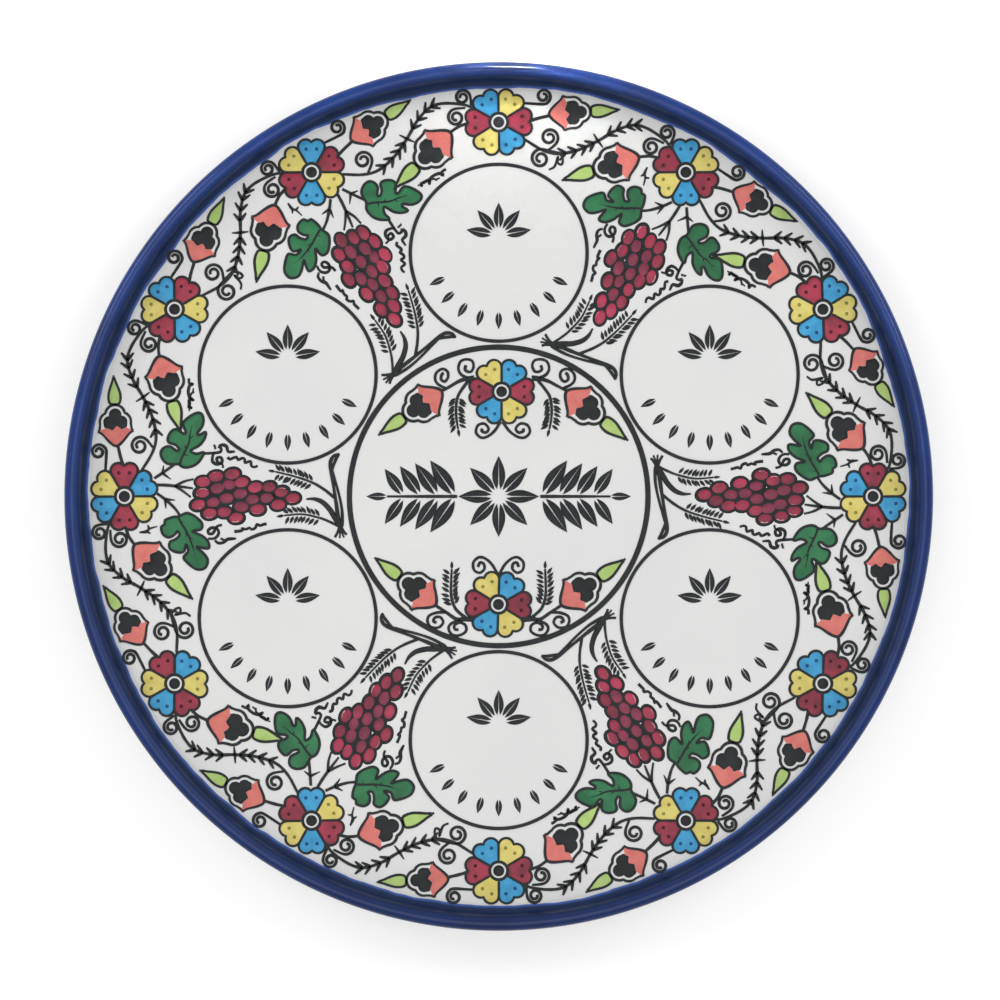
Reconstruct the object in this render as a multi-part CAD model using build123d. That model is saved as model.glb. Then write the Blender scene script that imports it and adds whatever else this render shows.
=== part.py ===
from build123d import *
import os
from math import atan2, cos, degrees, hypot, pi, radians, sin

# Plate body, all lengths in millimetres
plate_diameter = 300.0
lip_band = 8.1            # plan width of the raised lip
lip_thickness = 5.2
lip_rise = 11.5           # crest above the glazed face
floor_thickness = 7.5     # glaze to glaze
foot_height = 5.0
foot_diameter = 200.0
foot_width = 7.0
foot_taper = 1.2          # each side of the foot narrows by this towards the table
glaze_thickness = 0.5
rim_glaze_drop = 12.0     # the cobalt glaze reaches this far below the crest outside

# Rings that part the face into medallion, wells and field
medallion_diameter = 103.7 / 300 * plate_diameter
medallion_line = 1.7
well_diameter = 61.4 / 300 * plate_diameter
well_line = 1.1
well_count = 6
ring_gap = 0.7            # between the medallion ring and a well ring

# Enamel
line_rise = 0.35
enamel_rise = 0.25

# Spaces that the ornament is drawn for: it is made smaller where one of them is tighter
stencil_border = 26.0     # between the wells and the lip
stencil_gap = 22.15       # between two wells
stencil_face = 141.9      # radius of the face

# Motifs, as they are drawn
drawn_line_width = 0.95
drawn_flower_diameter = 23.0
flower_margin = 0.4       # between a border flower and the foot of the lip
drawn_eye_diameter = 4.1
drawn_eye_band = 1.35     # ring round the eye, up to the petals
petal_count = 6
drawn_tulip_length = 26.0   # with its bud
drawn_stalk_length = 5.8
drawn_spiral_diameter = 6.0
drawn_vine_bow = 5.0
drawn_leaf_length = 19.0
drawn_leaf_spread = 8.0   # from the bunch's middle line to a leaf's root
drawn_berry_diameter = 3.8
drawn_berry_gap = 0.6
drawn_stem_length = 11.5
drawn_ear_length = 14.0
drawn_ear_width = 4.4
drawn_sheaf_lift = 2.0    # of the sheaf above the medallion ring
drawn_blade_length = 17.0
drawn_frond_length = 20.0
laurel_margin = 4.7       # between the laurel's tips and the medallion ring
laurel_pairs = 4
sprig_share = 0.3         # length of a sprig's leaf to the well's radius
arc_leaf_share = 0.2
arc_leaves = 9

# Heights and radii that follow from the sizes above
plate_radius = plate_diameter / 2
face_radius = plate_radius - lip_band
face_height = foot_height + floor_thickness
clay_height = face_height - glaze_thickness
lip_height = face_height + lip_rise
crest_radius = lip_thickness / 2
crest_height = lip_height - crest_radius
cove_radius = lip_band - lip_thickness
wall_radius = crest_height - foot_height
rim_glaze_edge = lip_height - rim_glaze_drop
foot_radius = foot_diameter / 2
foot_inner_radius = foot_radius - foot_width

medallion_radius = medallion_diameter / 2
medallion_outer = medallion_radius + medallion_line / 2
medallion_inner = medallion_radius - medallion_line / 2
well_outer = (well_diameter + well_line) / 2
well_inner = (well_diameter - well_line) / 2
well_orbit = medallion_outer + ring_gap + well_outer
well_step = 360 / well_count
first_well = 90

border_room = face_radius - well_orbit - well_outer
well_gap = 2 * (well_orbit * sin(pi / well_count) - well_outer)
drawn = min(border_room / stencil_border, well_gap / stencil_gap, face_radius / stencil_face)
line_width = drawn * drawn_line_width
flower_radius = drawn * drawn_flower_diameter / 2
flower_orbit = face_radius - flower_margin - flower_radius
flower_count = 2 * well_count
flower_step = 360 / flower_count
eye_radius = drawn * drawn_eye_diameter / 2
eye_band = drawn * drawn_eye_band
tulip_length = drawn * drawn_tulip_length
stalk_length = drawn * drawn_stalk_length
spiral_radius = drawn * drawn_spiral_diameter / 2
vine_bow = drawn * drawn_vine_bow
leaf_length = drawn * drawn_leaf_length
leaf_spread = drawn * drawn_leaf_spread
berry_radius = drawn * drawn_berry_diameter / 2
berry_step = drawn * (drawn_berry_diameter + drawn_berry_gap)
stem_length = drawn * drawn_stem_length
ear_length = drawn * drawn_ear_length
ear_width = drawn * drawn_ear_width
sheaf_lift = drawn * drawn_sheaf_lift
blade_length = drawn * drawn_blade_length
frond_length = drawn * drawn_frond_length
sprig_leaf_length = sprig_share * well_inner
arc_leaf_length = arc_leaf_share * well_inner

# Laurel leaf length from the medallion's half width: hub, round leaf, pairs of leaves and tip
hub_share = 0.18
pair_share = 0.5
tip_share = 0.6
laurel_spans = hub_share + 1 + pair_share * laurel_pairs + tip_share
laurel_leaf_length = (medallion_inner - laurel_margin - line_width) / laurel_spans

# Border flowers, by plate angle, whose upper left petal is yellow instead of blue
yellow_first = (0, 120, 150, 300, 330)


# Plate section

def plate_section(inset):
    """Half section of the plate without its foot, drawn in by the inset all round."""
    under = foot_height + inset
    face = face_height - inset
    inner = plate_radius - lip_thickness + inset
    heel = plate_radius - wall_radius
    cove_top = face_height + cove_radius
    outline = [
        Line((0, face), (0, under)),
        Line((0, under), (heel, under)),
        CenterArc((heel, crest_height), wall_radius - inset, 270, 90),
        CenterArc((plate_radius - crest_radius, crest_height), crest_radius - inset, 0, 180),
        Line((inner, crest_height), (inner, cove_top)),
        CenterArc((face_radius, cove_top), cove_radius + inset, 270, 90),
        Line((face_radius, face), (0, face)),
    ]
    return make_face(outline)


def foot_section():
    """Half section of the foot ring, up into the clay floor."""
    top = foot_height + glaze_thickness
    return make_face(Polyline(
        (foot_inner_radius + foot_taper, 0),
        (foot_radius - foot_taper, 0),
        (foot_radius, foot_height),
        (foot_radius, top),
        (foot_inner_radius, top),
        (foot_inner_radius, foot_height),
        close=True))


def box_section(inner, outer, low, high):
    """Rectangle of a half section between two radii and two heights."""
    return Pos(inner, low) * Rectangle(outer - inner, high - low, align=(Align.MIN, Align.MIN))


def turned(section):
    """Solid of revolution about the plate's own axis."""
    return revolve(Plane.XZ * section, Axis.Z)


def disc(radius, bottom, top):
    return Pos(0, 0, bottom) * Cylinder(radius, top - bottom, align=(Align.CENTER, Align.CENTER, Align.MIN))


# Flat shapes of the ornament

def circle_at(x, y, radius):
    return Pos(x, y) * Circle(radius)


def joined(shapes):
    """One flat shape from many that overlap."""
    return Sketch() + list(shapes)


def arc_band(centre, radius, start, sweep, width):
    """Part of a ring: a stroke of even width along one arc."""
    outer = CenterArc(centre, radius + width / 2, start, sweep)
    inner = CenterArc(centre, radius - width / 2, start, sweep)
    return make_face([outer, inner, Line(outer @ 0, inner @ 0), Line(outer @ 1, inner @ 1)])


def bowed(start, end, bow, width):
    """Stroke from start to end along one arc that bows to the left by the given height."""
    chord = hypot(end[0] - start[0], end[1] - start[1])
    radius = (chord ** 2 / 4 + bow ** 2) / (2 * abs(bow))
    heading = atan2(end[1] - start[1], end[0] - start[0])
    side = 1 if bow > 0 else -1
    towards = heading + side * pi / 2
    middle = ((start[0] + end[0]) / 2, (start[1] + end[1]) / 2)
    drop = abs(bow) - radius
    centre = (middle[0] + drop * cos(towards), middle[1] + drop * sin(towards))
    first = degrees(atan2(start[1] - centre[1], start[0] - centre[0]))
    last = degrees(atan2(end[1] - centre[1], end[0] - centre[0]))
    sweep = (first - last) % 360 if side > 0 else (last - first) % 360
    return arc_band(centre, radius, last if side > 0 else first, sweep, width)


def lens(length, width):
    """Pointed leaf of two arcs, from the origin along +X."""
    half = width / 2
    return make_face([
        ThreePointArc((0, 0), (length / 2, half), (length, 0)),
        ThreePointArc((length, 0), (length / 2, -half), (0, 0)),
    ])


def spiral():
    """Curl of three half turns, each tighter than the last, winding in anticlockwise."""
    tighter = 0.72
    bands = []
    radius = spiral_radius - line_width / 2
    centre = 0
    for half_turn in range(3):
        bands.append(arc_band((centre, 0), radius, 180 * half_turn, 180, line_width))
        inward = radius * (1 - tighter)
        centre = centre - inward if half_turn % 2 == 0 else centre + inward
        radius = radius * tighter
    return joined(bands)


def heart():
    """Heart-shaped petal along +Y from the flower's centre, clear of the eye."""
    half_angle = pi / petal_count
    spread = 0.95
    reach = flower_radius - line_width
    lobe = (reach - line_width) * sin(half_angle) / (1 + sin(half_angle) + spread * cos(half_angle))
    lobe_x = spread * lobe
    lobe_y = reach - lobe
    side_x = lobe_x + lobe * cos(half_angle)
    side_y = lobe_y - lobe * sin(half_angle)
    body = Polyline((0, line_width), (side_x, side_y), (lobe_x, lobe_y),
                    (-lobe_x, lobe_y), (-side_x, side_y), close=True)
    whole = joined([make_face(body), circle_at(lobe_x, lobe_y, lobe), circle_at(-lobe_x, lobe_y, lobe)])
    return whole - Circle(eye_radius + eye_band)


def petal_turn(index):
    """Turn of a petal from straight up, the first one at the upper left."""
    step = 360 / petal_count
    return step / 2 - index * step


def tulip_parts():
    """Cup, trilobed heart and bud of one tulip, from the cup's root at the origin along +X."""
    ear = (0.2 * tulip_length, 0.23 * tulip_length)
    notch = (0.16 * tulip_length, 0.09 * tulip_length)
    tooth = (0.24 * tulip_length, 0)
    flank = (0.05 * tulip_length, 0.145 * tulip_length)
    cup = make_face([
        ThreePointArc((0, 0), flank, ear),
        Line(ear, notch),
        Line(notch, tooth),
        Line(tooth, (notch[0], -notch[1])),
        Line((notch[0], -notch[1]), (ear[0], -ear[1])),
        ThreePointArc((ear[0], -ear[1]), (flank[0], -flank[1]), (0, 0)),
    ])
    lobe = 0.1 * tulip_length
    lobe_spots = [(0.3 * tulip_length, 0.13 * tulip_length), (0.41 * tulip_length, 0),
                  (0.3 * tulip_length, -0.13 * tulip_length), (0.26 * tulip_length, 0)]
    trefoil = joined(circle_at(x, y, lobe) for x, y in lobe_spots) - cup
    bud_root = 0.57 * tulip_length
    bud = Pos(bud_root) * lens(tulip_length - bud_root, 0.17 * tulip_length)
    return cup, trefoil, bud


def leaf_shape():
    """Five-lobed vine leaf from its stem at the origin along +X."""
    lobe = 0.135 * leaf_length
    spread = 0.3 * leaf_length
    lobe_spots = [(0.22 * leaf_length, spread), (0.55 * leaf_length, spread), (leaf_length - lobe, 0),
                  (0.55 * leaf_length, -spread), (0.22 * leaf_length, -spread)]
    core = make_face(Polyline((0, 0), *lobe_spots, close=True))
    return joined([core, *[circle_at(x, y, lobe) for x, y in lobe_spots]])


bunch_rows = (3, 4, 3, 4, 3, 2, 1)


def berry_spots():
    """Centres of the berries, row by row downwards from the bunch's top at the origin."""
    return [((index - (count - 1) / 2) * berry_step, -(row + 0.5) * berry_step)
            for row, count in enumerate(bunch_rows) for index in range(count)]


# Ornament laid out on the face

petal = heart()
tulip_cup, tulip_trefoil, tulip_bud = tulip_parts()
leaf_fill = leaf_shape()
curl = spiral()

node_shapes = {}


def lay(node, shape, *places):
    """Puts a copy of a flat shape at each place on a node's list."""
    for spot in places:
        node_shapes.setdefault(node, []).extend((spot * shape).faces())


def at_angle(angle):
    """Turn that brings the plate's upward direction to a plate angle."""
    return Rot(0, 0, angle - 90)


def near_flower(distance, direction):
    """Point of the border at a distance and direction from the upright flower's centre."""
    return (distance * cos(radians(direction)), flower_orbit + distance * sin(radians(direction)))


flower_angles = [index * flower_step for index in range(flower_count)]
well_angles = [first_well + index * well_step for index in range(well_count)]
every_flower = [at_angle(angle) for angle in flower_angles]
every_bunch = every_flower[::2]
every_well = [at_angle(angle) * Pos(0, well_orbit) for angle in well_angles]
medallion_flower_y = medallion_inner - flower_radius - 4 * line_width
medallion_halves = [Rot(0, 0, 0), Rot(0, 0, 180)]


# Flowers

def flower_colours(upper_left):
    other = "petals_blue" if upper_left == "petals_yellow" else "petals_yellow"
    return (upper_left, other, "petals_red", upper_left, other, "petals_red")


def lay_flower(place, upper_left):
    for index, colour in enumerate(flower_colours(upper_left)):
        lay(colour, Rot(0, 0, petal_turn(index)) * petal, place)
    lay("flower_eyes", Circle(eye_radius), place)


for angle, turn in zip(flower_angles, every_flower):
    lay_flower(turn * Pos(0, flower_orbit), "petals_yellow" if angle in yellow_first else "petals_blue")
for half in medallion_halves:
    lay_flower(half * Pos(0, medallion_flower_y), "petals_yellow")

# Tulips: one outside and one inside each border flower, two on each half of the medallion
tulip_reach = flower_radius + stalk_length
outer_root_turn = 7
outer_tulip_turn = 2
inner_root_turn = 192
inner_tulip_turn = 226
outer_tulip = Pos(*near_flower(tulip_reach, outer_root_turn)) * Rot(0, 0, outer_tulip_turn)
inner_tulip = Pos(*near_flower(tulip_reach, inner_root_turn)) * Rot(0, 0, inner_tulip_turn)
medallion_tulip_x = flower_radius + 1.7 * stalk_length
medallion_tulip_turn = 36
right_tulip = Pos(medallion_tulip_x, medallion_flower_y) * Rot(0, 0, -medallion_tulip_turn)
left_tulip = Pos(-medallion_tulip_x, medallion_flower_y) * Rot(0, 0, 180 + medallion_tulip_turn)
all_tulips = [turn * tulip for turn in every_flower for tulip in (outer_tulip, inner_tulip)]
all_tulips += [half * tulip for half in medallion_halves for tulip in (left_tulip, right_tulip)]
for node, shape in (("tulip_cups", tulip_cup), ("tulip_hearts", tulip_trefoil), ("buds", tulip_bud)):
    lay(node, shape, *all_tulips)

# Stalks between flowers and tulips
stalk_play = 0.3
for root_turn in (outer_root_turn, inner_root_turn):
    stalk = Rectangle(stalk_length - stalk_play, line_width, align=(Align.MIN, Align.CENTER))
    stalk_place = Pos(*near_flower(flower_radius, root_turn)) * Rot(0, 0, root_turn)
    lay("flower_stalks", stalk_place * stalk, *every_flower)

# Vines from each flower's lower right to the next flower's upper left, an arc in and an arc out
next_flower = Rot(0, 0, -flower_step)
vine_start = near_flower(flower_radius, -35)
end_spot = (next_flower * Pos(*near_flower(flower_radius, 152))).position
vine_end = (end_spot.X, end_spot.Y)
vine_middle = ((vine_start[0] + vine_end[0]) / 2, (vine_start[1] + vine_end[1]) / 2)
vine = joined([bowed(vine_start, vine_middle, -vine_bow, line_width),
               bowed(vine_middle, vine_end, vine_bow, line_width)])
lay("feather_vines", vine, *every_flower)

# Curls beside the flowers
curl_reach = flower_radius + spiral_radius + line_width
curl_spots = [
    near_flower(curl_reach + spiral_radius, 33),
    near_flower(curl_reach + 0.87 * spiral_radius, -22),
    near_flower(curl_reach, 173),
]
past_vine = Rot(0, 0, flower_step) * vine
for x, y in curl_spots:
    lay("spiral_tendrils", (Pos(x, y) * curl - vine - past_vine) & Circle(face_radius), *every_flower)

# Grape bunch, its stems and two leaves under every other flower
flower_foot = flower_orbit - flower_radius
bunch_top = flower_foot - stem_length
for x, y in berry_spots():
    lay("grape_berries", circle_at(x, bunch_top + y, berry_radius), *every_bunch)
leaf_root_y = flower_foot - 0.5 * stem_length
leaf_turn = 24
right_leaf = Pos(leaf_spread, leaf_root_y) * Rot(0, 0, -leaf_turn)
left_leaf = Pos(-leaf_spread, leaf_root_y) * Rot(0, 0, 180 + leaf_turn)
lay("vine_leaves", leaf_fill, *[turn * leaf for turn in every_bunch for leaf in (left_leaf, right_leaf)])
bunch_stem = Rectangle(line_width, stem_length, align=(Align.CENTER, Align.MIN))
lay("grape_stems", Pos(0, bunch_top) * bunch_stem, *every_bunch)
for side in (-1, 1):
    root = (side * 2.5 * line_width, flower_foot)
    leaf_stem = bowed(root, (side * leaf_spread, leaf_root_y), side * line_width, line_width)
    lay("grape_stems", leaf_stem - left_leaf * leaf_fill - right_leaf * leaf_fill, *every_bunch)

# Sheaf of two ears and a blade by the medallion ring in each gap between two wells
sheaf_foot = medallion_outer + sheaf_lift
ear = lens(ear_length, ear_width)
ear_lift = sheaf_foot + 0.57 * ear_length
first_ear = (-0.46 * ear_length, ear_lift)
second_ear = (0.39 * ear_length, ear_lift)
gather = (-0.68 * ear_length, sheaf_foot)
stem_play = 0.6
lay("wheat_ears", Pos(*first_ear) * Rot(0, 0, 90) * ear, *every_bunch)
lay("wheat_ears", Pos(*second_ear) * Rot(0, 0, 74) * ear, *every_bunch)
first_stem = bowed(gather, (first_ear[0], first_ear[1] - stem_play), -line_width, line_width)
second_gather = (gather[0] + 2 * line_width, gather[1])
second_stem = bowed(second_gather, (second_ear[0], second_ear[1] - stem_play), -2 * line_width, line_width)
lay("sheaf_stems", first_stem, *every_bunch)
lay("sheaf_stems", second_stem, *every_bunch)
blade_root = (gather[0] + 9 * line_width, gather[1] - 0.5 * line_width)
lay("blade_leaves", Pos(*blade_root) * Rot(0, 0, 4) * lens(blade_length, 2 * line_width), *every_bunch)

# Sprays of the medallion: stalks to the tulips, wheat fronds and curls
frond_x = flower_radius + 0.6 * stalk_length
for side in (-1, 1):
    reach = medallion_tulip_x - flower_radius - stalk_play
    stalk = Rectangle(reach, line_width)
    stalk_x = side * (flower_radius + reach / 2)
    frond_place = Pos(side * frond_x, medallion_flower_y - 2 * line_width) * Rot(0, 0, -90)
    curl_place = Pos(side * frond_x, medallion_flower_y + 0.5 * flower_radius)
    lay("flower_stalks", Pos(stalk_x, medallion_flower_y) * stalk, *medallion_halves)
    lay("wheat_ears", frond_place * lens(frond_length, ear_width), *medallion_halves)
    lay("spiral_tendrils", curl_place * curl, *medallion_halves)

# Laurel across the medallion: a round of leaves in the middle and a branch to each side
laurel_round = 8
laurel_hub = hub_share * laurel_leaf_length
laurel_leaf = lens(laurel_leaf_length, 0.36 * laurel_leaf_length)
for index in range(laurel_round):
    lay("centre_laurel", Rot(0, 0, index * 360 / laurel_round) * Pos(laurel_hub) * laurel_leaf, Pos(0, 0))
pair_step = pair_share * laurel_leaf_length
branch_root = laurel_hub + laurel_leaf_length + line_width
for half in medallion_halves:
    for pair in range(laurel_pairs):
        size = (1.2 - 0.1 * pair) * laurel_leaf_length
        leaf = Pos(line_width) * lens(size, 0.32 * size)
        for slant in (-55, 55):
            lay("centre_laurel", Pos(branch_root + pair * pair_step) * Rot(0, 0, slant) * leaf, half)
    tip_leaf = lens(tip_share * laurel_leaf_length, 3.0 * line_width)
    lay("centre_laurel", Pos(branch_root + laurel_pairs * pair_step) * tip_leaf, half)

# Sprig in the upper part of each well and a row of small leaves along its lower side
sprig_leaf = Pos(2.5 * line_width) * lens(sprig_leaf_length, 0.36 * sprig_leaf_length)
sprig_turns = (10, 50, 90, 130, 170)
sprig_y = 0.2 * well_inner
arc_leaf = lens(arc_leaf_length, 0.36 * arc_leaf_length)
arc_radius = 0.78 * well_inner
arc_span = 130
upright_wells = [Rot(0, 0, angle) * Pos(well_orbit) * Rot(0, 0, -angle) for angle in well_angles]
for turn in sprig_turns:
    lay("well_sprigs", Pos(0, sprig_y) * Rot(0, 0, turn) * sprig_leaf, *upright_wells)
for index in range(arc_leaves):
    turn = 270 + arc_span * (index / (arc_leaves - 1) - 0.5)
    lay("well_sprigs", Rot(0, 0, turn) * Pos(arc_radius - arc_leaf_length / 2) * arc_leaf, *upright_wells)

# Solids
foot = foot_section()
clay_section = plate_section(glaze_thickness)
glaze_section = plate_section(0) - clay_section - foot
beyond = plate_radius + 1

solids = {}
solids["biscuit_body"] = [turned(clay_section + foot)]
above = lip_height + 1
solids["rim_glaze"] = [turned(glaze_section & box_section(face_radius, beyond, rim_glaze_edge, above))]
solids["back_glaze"] = [turned(glaze_section & box_section(foot_radius, beyond, 0, rim_glaze_edge))]
solids["foot_well_glaze"] = [disc(foot_inner_radius, foot_height, foot_height + glaze_thickness)]

well_holes = [spot * disc(well_outer, clay_height, face_height) for spot in every_well]
solids["field_glaze"] = [disc(face_radius, clay_height, face_height)
                         - disc(medallion_outer, clay_height, face_height) - well_holes]
solids["medallion_glaze"] = [disc(medallion_inner, clay_height, face_height)]
solids["well_glaze"] = [spot * disc(well_inner, clay_height, face_height) for spot in every_well]
ring_top = face_height + line_rise
solids["medallion_ring"] = [disc(medallion_outer, clay_height, ring_top)
                            - disc(medallion_inner, clay_height, ring_top)]
well_ring = disc(well_outer, clay_height, ring_top) - disc(well_inner, clay_height, ring_top)
solids["well_rings"] = [spot * well_ring for spot in every_well]

colour_fields = (
    "petals_red", "petals_yellow", "petals_blue", "tulip_cups", "buds", "vine_leaves", "grape_berries")
for node, faces in node_shapes.items():
    rise = enamel_rise if node in colour_fields else line_rise
    solids[node] = [extrude(Pos(0, 0, face_height) * face, rise, dir=(0, 0, 1)) for face in faces]

os.makedirs("parts", exist_ok=True)
for node, pieces in solids.items():
    single = [solid for piece in pieces for solid in piece.solids()]
    export_step(Compound(children=single), os.path.join("parts", f"{node}.step"))
    print(node, len(single), "solids", round(sum(solid.volume for solid in single), 1), "mm3")
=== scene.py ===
import math

import bmesh
import bpy
import numpy as np
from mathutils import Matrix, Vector
from mathutils.geometry import delaunay_2d_cdt


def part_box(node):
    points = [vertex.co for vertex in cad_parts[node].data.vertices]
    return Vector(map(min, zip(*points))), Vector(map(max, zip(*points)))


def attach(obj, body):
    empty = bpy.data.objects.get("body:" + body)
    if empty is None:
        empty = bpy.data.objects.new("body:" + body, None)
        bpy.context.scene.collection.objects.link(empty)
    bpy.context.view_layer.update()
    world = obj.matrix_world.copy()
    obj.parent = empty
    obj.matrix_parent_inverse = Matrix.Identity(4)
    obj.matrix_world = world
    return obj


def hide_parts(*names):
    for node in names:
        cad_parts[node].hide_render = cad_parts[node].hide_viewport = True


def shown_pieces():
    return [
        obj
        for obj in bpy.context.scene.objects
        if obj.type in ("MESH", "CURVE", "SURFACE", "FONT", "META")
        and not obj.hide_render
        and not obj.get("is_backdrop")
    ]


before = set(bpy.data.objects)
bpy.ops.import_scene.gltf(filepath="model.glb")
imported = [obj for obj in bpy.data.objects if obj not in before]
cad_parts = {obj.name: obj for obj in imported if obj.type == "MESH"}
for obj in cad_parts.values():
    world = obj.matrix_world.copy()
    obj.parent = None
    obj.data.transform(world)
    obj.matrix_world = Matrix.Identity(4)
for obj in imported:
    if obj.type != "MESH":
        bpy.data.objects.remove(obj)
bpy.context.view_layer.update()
mm = 0.001

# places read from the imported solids, in millimetres
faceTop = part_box("field_glaze")[1].z / mm
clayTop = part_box("field_glaze")[0].z / mm
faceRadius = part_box("field_glaze")[1].x / mm
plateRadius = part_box("rim_glaze")[1].x / mm
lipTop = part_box("rim_glaze")[1].z / mm
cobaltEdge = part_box("rim_glaze")[0].z / mm
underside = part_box("back_glaze")[0].z / mm
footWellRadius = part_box("foot_well_glaze")[1].x / mm
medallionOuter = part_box("medallion_ring")[1].x / mm
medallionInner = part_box("medallion_glaze")[1].x / mm
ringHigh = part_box("well_rings")[1] / mm
wellOrbit = (ringHigh.y - ringHigh.x) / (1 - math.cos(math.radians(30)))
wellOuter = ringHigh.y - wellOrbit
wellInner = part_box("well_glaze")[1].y / mm - wellOrbit
flowerOrbit = 130.0
flowerAngles, bunchAngles, wellAngles = range(0, 360, 30), range(0, 360, 60), range(30, 390, 60)
print("frame: face at", round(faceTop, 2), "mm, plate radius", round(plateRadius, 2), "mm")


# node trees that make the repeated and drawn pieces

def addNode(tree, kind, presets=None, **settings):
    node = tree.nodes.new(kind)
    for name, value in settings.items():
        setattr(node, name, value)
    for socket, value in (presets or {}).items():
        node.inputs[socket].default_value = value
    return node


def wire(tree, *links):
    # each link runs from a node's output to another node's input
    for source, output, target, entry in links:
        tree.links.new(source.outputs[output], target.inputs[entry])


def treeWith(name, kind, inputs, outputs):
    tree = bpy.data.node_groups.new(name, kind)
    for label, socketType, value in inputs:
        socket = tree.interface.new_socket(label, in_out="INPUT", socket_type="NodeSocket" + socketType)
        if value is not None:
            socket.default_value = value
    for label, socketType in outputs:
        tree.interface.new_socket(label, in_out="OUTPUT", socket_type="NodeSocket" + socketType)
    return tree, addNode(tree, "NodeGroupInput"), addNode(tree, "NodeGroupOutput")


def endTree(tree, enter, leave, last):
    realize = addNode(tree, "GeometryNodeRealizeInstances")
    paint = addNode(tree, "GeometryNodeSetMaterial")
    wire(tree, (last, "Geometry", realize, "Geometry"), (realize, "Geometry", paint, "Geometry"),
         (enter, "Material", paint, "Material"), (paint, "Geometry", leave, "Geometry"))
    return tree


def inkStrokeTree():
    tree, enter, leave = treeWith("inkStroke", "GeometryNodeTree", [
        ("Geometry", "Geometry", None), ("Sides", "Int", 8), ("Rise", "Float", 0.0003),
        ("Sink", "Float", 0.0001), ("Wobble", "Float", 0.1), ("Wobble Scale", "Float", 300.0),
        ("Material", "Material", None)], [("Geometry", "Geometry")])
    toCurve = addNode(tree, "GeometryNodeMeshToCurve")
    upright = addNode(tree, "GeometryNodeSetCurveNormal", mode="Z_UP")
    brush = addNode(tree, "GeometryNodeCurvePrimitiveCircle", {"Radius": 0.5})
    width = addNode(tree, "GeometryNodeInputNamedAttribute", {"Name": "width"}, data_type="FLOAT")
    noise = addNode(tree, "ShaderNodeTexNoise", {"Detail": 1.0})
    spread = addNode(tree, "ShaderNodeMapRange", {"From Min": 0.3, "From Max": 0.7})
    thinnest = addNode(tree, "ShaderNodeMath", {0: 1.0}, operation="SUBTRACT")
    widest = addNode(tree, "ShaderNodeMath", {0: 1.0}, operation="ADD")
    scale = addNode(tree, "ShaderNodeMath", operation="MULTIPLY")
    sweep = addNode(tree, "GeometryNodeCurveToMesh", {"Fill Caps": True})
    place = addNode(tree, "GeometryNodeInputPosition")
    split = addNode(tree, "ShaderNodeSeparateXYZ")
    deep = addNode(tree, "ShaderNodeMath", {1: -1.0}, operation="MULTIPLY")
    level = addNode(tree, "ShaderNodeClamp")
    join = addNode(tree, "ShaderNodeCombineXYZ")
    flatten = addNode(tree, "GeometryNodeSetPosition")
    # a round brush follows the path, and its width wavers
    wire(tree, (enter, "Geometry", toCurve, "Mesh"), (toCurve, "Curve", upright, "Curve"),
         (upright, "Curve", sweep, "Curve"), (enter, "Sides", brush, "Resolution"),
         (brush, "Curve", sweep, "Profile Curve"), (enter, "Wobble Scale", noise, "Scale"),
         (noise, "Fac", spread, "Value"), (enter, "Wobble", thinnest, 1), (enter, "Wobble", widest, 1),
         (thinnest, 0, spread, "To Min"), (widest, 0, spread, "To Max"), (width, "Attribute", scale, 0),
         (spread, "Result", scale, 1), (scale, 0, sweep, "Scale"))
    # the swept line is pressed flat between its sink and its rise
    wire(tree, (sweep, "Mesh", flatten, "Geometry"), (place, "Position", split, 0), (split, "X", join, "X"),
         (split, "Y", join, "Y"), (split, "Z", level, "Value"), (enter, "Sink", deep, 0),
         (deep, 0, level, "Min"), (enter, "Rise", level, "Max"), (level, "Result", join, "Z"),
         (join, "Vector", flatten, "Position"))
    return endTree(tree, enter, leave, flatten)


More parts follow.
